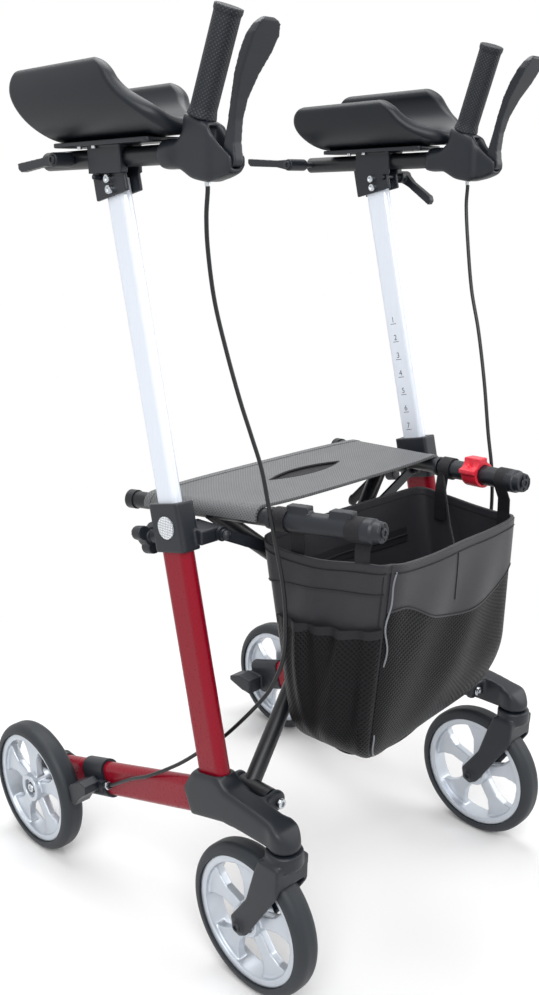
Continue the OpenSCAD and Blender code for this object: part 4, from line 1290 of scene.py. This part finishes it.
class WALKER_OT_bag(bpy.types.Operator):
    """Sew the bag that hangs under the rails"""

    bl_idname = "walker.bag"
    bl_label = "Bag"

    def execute(self, context):
        nylon, knit, tape, cord = bag_nylon_cloth(), bag_spacer_mesh(), strap_webbing(), piping_grey()
        shell = sheet_grid(
            "bag_shell", 200, 64, lambda u, v: bag_surface(4 * u % 4, 1 - v), (0.9, 0.4)
        )
        weld(shell)
        apply_modifier(shell, "SOLIDIFY", thickness=sizes().bag_cloth, offset=-1)
        smooth(shell, 60)
        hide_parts("bag")
        panels = [
            self.panel("bag_front_mesh", 1.0, 2.0, lambda a: ease(BAND_EDGE, a) + 6, lambda a: 0.0, 0.9),
            cloth("bag_side_pocket", (110, 60), self.pocket_shape, (0.19, 0.2), PANEL_T, 70),
        ]
        bands = [
            self.panel("bag_front_band", 1.0, 2.0, None, lambda a: ease(BAND_EDGE, a), 2.2),
            self.panel("bag_side_band", 0.02, 0.98, None, lambda a: ease(SIDE_SEAM, a), 1.4),
            self.panel("bag_far_band", 2.02, 2.98, None, lambda a: ease(SIDE_SEAM, 1 - a), 1.4),
            self.panel("bag_rear_band", 3.0, 4.0, None, lambda a: REAR_SEAM_Z, 1.4),
            self.hem(),
        ]
        elastic = cloth("bag_pocket_elastic", (110, 4), self.elastic_shape, (0.18, 0.012), ELASTIC_T)
        pipe = tube("bag_piping", [self.piping_point(z) for z in PIPING_Z], PIPING_R * MM)
        straps = join([elastic] + self.seams() + self.straps() + self.inner_zip(), "bag_straps")
        for piece, material in (
            (shell, nylon), (join(bands, "bag_bands"), nylon), (join(panels, "bag_mesh_panels"), knit),
            (straps, tape), (pipe, cord),
        ):
            dress(piece, material, "hammock")
            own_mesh(piece)
        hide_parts("bag_loops")
        return {"FINISHED"}

    def piping_point(self, z):
        """Piping down the near front edge: it wanders, and sinks behind the gathered mesh for a while."""
        s = 1.02 + 0.012 * math.sin(z / 21) + 0.008 * math.sin(z / 9 + 1)
        return bag_wall(s, z, ease(PIPING_OUT, z))

    def panel(self, name, start, end, top, low, out):
        """A layer of cloth over part of the wall, from a top line or the rim down to a low line."""
        def shape(u, v):
            s = start + (end - start) * u
            a = s - math.floor(start)
            high = bag_rim(min(s, 3.999) % 4) if top is None else top(a)
            bottom = max(low(a), bag_low(s))
            return bag_wall(s % 4, bottom + (high - bottom) * v, out)

        return cloth(name, (90, 40), shape, (0.29, 0.25), PANEL_T, 60)

    def hem(self):
        """Turned hem along the whole rim."""
        def shape(u, v):
            s = 4 * u % 4
            return bag_wall(s, bag_rim(s) + RIM_HEM_UP - EDGE_WIDTH * v, -0.4)

        piece = sheet_grid("bag_hem", 200, 6, shape, (0.9, EDGE_WIDTH * MM))
        weld(piece)
        apply_modifier(piece, "SOLIDIFY", thickness=RIM_HEM_T * MM, offset=0)
        apply_modifier(piece, "BEVEL", width=0.0012, segments=2, limit_method="ANGLE")
        smooth(piece, 60)
        return piece

    def pocket_shape(self, u, v):
        """Gathered mesh pocket on the near side."""
        a = POCKET_START + POCKET_SPAN * u
        k = 1 - v
        top = ease(POCKET_EDGE, a) + 4
        z = top + (bag_low(a) - top) * k
        return bag_wall(a, z, pocket_out(a, k))

    def elastic_shape(self, u, v):
        """Elastic edge of the pocket."""
        a = POCKET_START + POCKET_SPAN * u
        z = ease(POCKET_EDGE, a) + ELASTIC_UP - EDGE_WIDTH * (1 - v)
        return bag_wall(a, z, pocket_out(a, 0.0) + 1.0)

    def seams(self):
        """Sewn lines on the wall: along both bands, under the rim, and down the front and its near corner."""
        lines = [
            [(1.0 + a, ease(BAND_EDGE, a) + 3, 3.2) for a in even_steps(0.02, 0.98)],
            [(a, ease(SIDE_SEAM, a) + 2, 2.4) for a in even_steps(0.03, 0.97)],
            [(a, bag_rim(a) - 9, 2.6) for a in even_steps(0.03, 0.97)],
            [(1.0 + a, bag_rim(1.0 + a) - 9, 3.4) for a in even_steps(0.02, 0.98)],
            [(1.47 + 0.01 * t, bag_rim(1.47) - 10 - 62 * t, 3.3) for t in even_steps(0, 1, 16)],
            [(0.955, 550 - 78 * t, 2.6) for t in even_steps(0, 1, 16)],
        ]
        runs = [[bag_wall(*place) for place in line] for line in lines]
        return [tube("bag_seam", run, SEAM_R * MM, sides=1) for run in runs]

    def straps(self):
        """Webbing loops from the bag up and round the rails, and the tie at its front."""
        made = []
        for sign in (-1, 1):
            along = (RAIL_FRONT - RAIL_REAR).normalized() * (LOOP_HALF * MM)
            along.x *= sign
            for share in LOOP_AT:
                rail = RAIL_REAR.lerp(RAIL_FRONT, share)
                points = [at(sign * LOOP_X[sign], rail.y, z) for z in (BAG_RIM_Z - 40, rail.z - 26)]
                for degrees in even_steps(*LOOP_TURN, 24):
                    turn = math.radians(degrees)
                    x, z = rail.x + LOOP_R * math.cos(turn), rail.z + LOOP_R * math.sin(turn)
                    points.append(at(sign * x, rail.y, z))
                made.append(ribbon("bag_loop", points, [along] * len(points), LOOP_T))
        rail = RAIL_REAR.lerp(RAIL_FRONT, LOOP_AT[0])
        low, top = bag_wall(1.5, 535, -3), at(rail.x - 14, rail.y, rail.z - 6)
        bow = (low + top) / 2 - Vector((0, 0, TIE_DROP * MM))
        points = [top, (top + bow) / 2, bow, (low + bow) / 2, low]
        made.append(ribbon("bag_tie", points, [TIE_HALF * MM] * len(points), TIE_T))
        return made

    def inner_zip(self):
        """Zip along the inside of the rear wall: its tape and its coil."""
        def shape(u, v):
            return bag_wall(ZIP_START + ZIP_SPAN * u, ZIP_Z + ZIP_WIDTH * v, -3.2)

        tape = sheet_grid("bag_zip_tape", 60, 4, shape, (0.24, ZIP_WIDTH * MM))
        apply_modifier(tape, "SOLIDIFY", thickness=PANEL_T * MM, offset=0)
        places = even_steps(ZIP_START, ZIP_START + ZIP_SPAN)
        line = [bag_wall(s, ZIP_Z + ZIP_WIDTH / 2, -4.2) for s in places]
        return [tape, tube("bag_zip_coil", line, COIL_R * MM, sides=2)]


class WALKER_OT_height_marks(bpy.types.Operator):
    """Print the height scale on the left post"""

    bl_idname = "walker.height_marks"
    bl_label = "Height Marks"

    def execute(self, context):
        foot, outward, back, up = post_axes(SIDES["l"])
        out, right = -outward, -back
        made = []
        for k in range(MARK_COUNT):
            height = MARK_FOOT + MARK_STEP * (MARK_COUNT - 1 - k)
            spot = foot + (up * height + out * MARK_FACE - right * MARK_SHIFT) * MM
            deselect()
            bpy.ops.mesh.primitive_plane_add(size=1)
            tick = bpy.context.object
            for vert in tick.data.vertices:
                x, y = vert.co.x * TICK_LENGTH, vert.co.y * TICK_WIDTH - TICK_DROP
                vert.co = spot + (right * x + up * y) * MM
            made.append(tick)
            deselect()
            bpy.ops.object.text_add()
            mark = bpy.context.object
            mark.data.body = str(k + 1)
            mark.data.size = MARK_SIZE * MM
            mark.data.align_x = "CENTER"
            bpy.ops.object.convert(target="MESH")
            mark = bpy.context.object
            for vert in mark.data.vertices:
                vert.co = spot + right * vert.co.x + up * vert.co.y
            made.append(mark)
        marks = join(made, "height_marks")
        dress(marks, print_ink(), "support_l")
        return {"FINISHED"}


class WALKER_OT_stage(bpy.types.Operator):
    """Set the camera, the lamps and the floor"""

    bl_idname = "walker.stage"
    bl_label = "Stage"

    def execute(self, context):
        scene = context.scene
        scene.view_settings.view_transform = "Standard"
        self.camera(scene)
        self.lamps(scene)
        self.world(scene)
        deselect()
        bpy.ops.mesh.primitive_plane_add(size=FLOOR_SIZE, location=(0, 0, 0))
        floor = bpy.context.object
        floor.name = "studio_floor"
        floor.data.materials.append(studio_paper())
        return {"FINISHED"}

    def camera(self, scene):
        """A camera that stands and looks as in the photograph."""
        yaw, pitch, roll = (math.radians(v) for v in (CAMERA_YAW, CAMERA_PITCH, CAMERA_ROLL))
        right = Vector((math.cos(yaw), -math.sin(yaw), 0))
        ahead = Vector((math.sin(yaw) * math.cos(pitch), math.cos(yaw) * math.cos(pitch), -math.sin(pitch)))
        up = right.cross(ahead)
        c, s = math.cos(roll), math.sin(roll)
        right, up = right * c + up * s, up * c - right * s
        data = bpy.data.cameras.new("photo_camera")
        data.lens = CAMERA_LENS
        data.shift_x, data.shift_y = CAMERA_SHIFT
        camera = bpy.data.objects.new("photo_camera", data)
        turn = Matrix((right, up, -ahead)).transposed().to_4x4()
        camera.matrix_world = Matrix.Translation(at(*CAMERA_SPOT)) @ turn
        scene.collection.objects.link(camera)
        scene.camera = camera

    def lamps(self, scene):
        """Large soft lamps, each with its place, its size in metres and its power in watts."""
        for name, spot, size, power in (
            ("key_lamp", (-1.6, -1.6, 2.4), 1.8, 60),
            ("fill_lamp", (1.9, -1.4, 1.6), 1.8, 24),
            ("top_lamp", (0.2, 0.6, 2.9), 2.2, 52),
        ):
            data = bpy.data.lights.new(name, "AREA")
            data.size = size
            data.energy = power
            lamp = bpy.data.objects.new(name, data)
            lamp.location = spot
            lamp.rotation_euler = (LAMP_AIM - Vector(spot)).to_track_quat("-Z", "Y").to_euler()
            scene.collection.objects.link(lamp)

    def world(self, scene):
        """A soft even surround that the camera and the glossy surfaces see as white."""
        world = bpy.data.worlds.new("studio_world")
        world.use_nodes = True
        tree = world.node_tree
        back = tree.nodes["Background"]
        back.inputs["Color"].default_value = (1, 1, 1, 1)
        add_node(
            tree, "MapRange", {"Value": eye_ray(tree), "To Min": WORLD_LIGHT, "To Max": 1.0},
            to=back.inputs["Strength"],
        )
        scene.world = world


class WALKER_PT_panel(bpy.types.Panel):
    """Lists the walker's pieces and sizes"""

    bl_idname = "WALKER_PT_panel"
    bl_label = "Upright Walker"
    bl_space_type = "VIEW_3D"
    bl_region_type = "UI"
    bl_category = "Walker"

    def draw(self, context):
        for group in (sizes(), colours()):
            for name in type(group).__annotations__:
                self.layout.prop(group, name)
        for operator in OPERATORS:
            self.layout.operator(operator.bl_idname)


OPERATORS = (
    WALKER_OT_stage,
    WALKER_OT_brake_cables,
    WALKER_OT_frame_finish,
    WALKER_OT_mouldings,
    WALKER_OT_fasteners,
    WALKER_OT_forearm_pads,
    WALKER_OT_seat,
    WALKER_OT_bag,
    WALKER_OT_height_marks,
)
CLASSES = (WalkerSizes, WalkerColours) + OPERATORS + (WALKER_PT_panel,)


def register():
    """Registers the classes and the settings."""
    for item in CLASSES:
        bpy.utils.register_class(item)
    bpy.types.Scene.walker_sizes = bpy.props.PointerProperty(type=WalkerSizes)
    bpy.types.Scene.walker_colours = bpy.props.PointerProperty(type=WalkerColours)


def unregister():
    """Takes the classes and the settings away again."""
    del bpy.types.Scene.walker_colours
    del bpy.types.Scene.walker_sizes
    for item in reversed(CLASSES):
        bpy.utils.unregister_class(item)


def main():
    """Builds every piece in order."""
    register()
    bpy.ops.walker.stage()
    bpy.ops.walker.brake_cables()
    bpy.ops.walker.frame_finish()
    bpy.ops.walker.mouldings()
    bpy.ops.walker.fasteners()
    bpy.ops.walker.forearm_pads()
    bpy.ops.walker.seat()
    bpy.ops.walker.bag()
    bpy.ops.walker.height_marks()


if __name__ == "__main__":
    main()
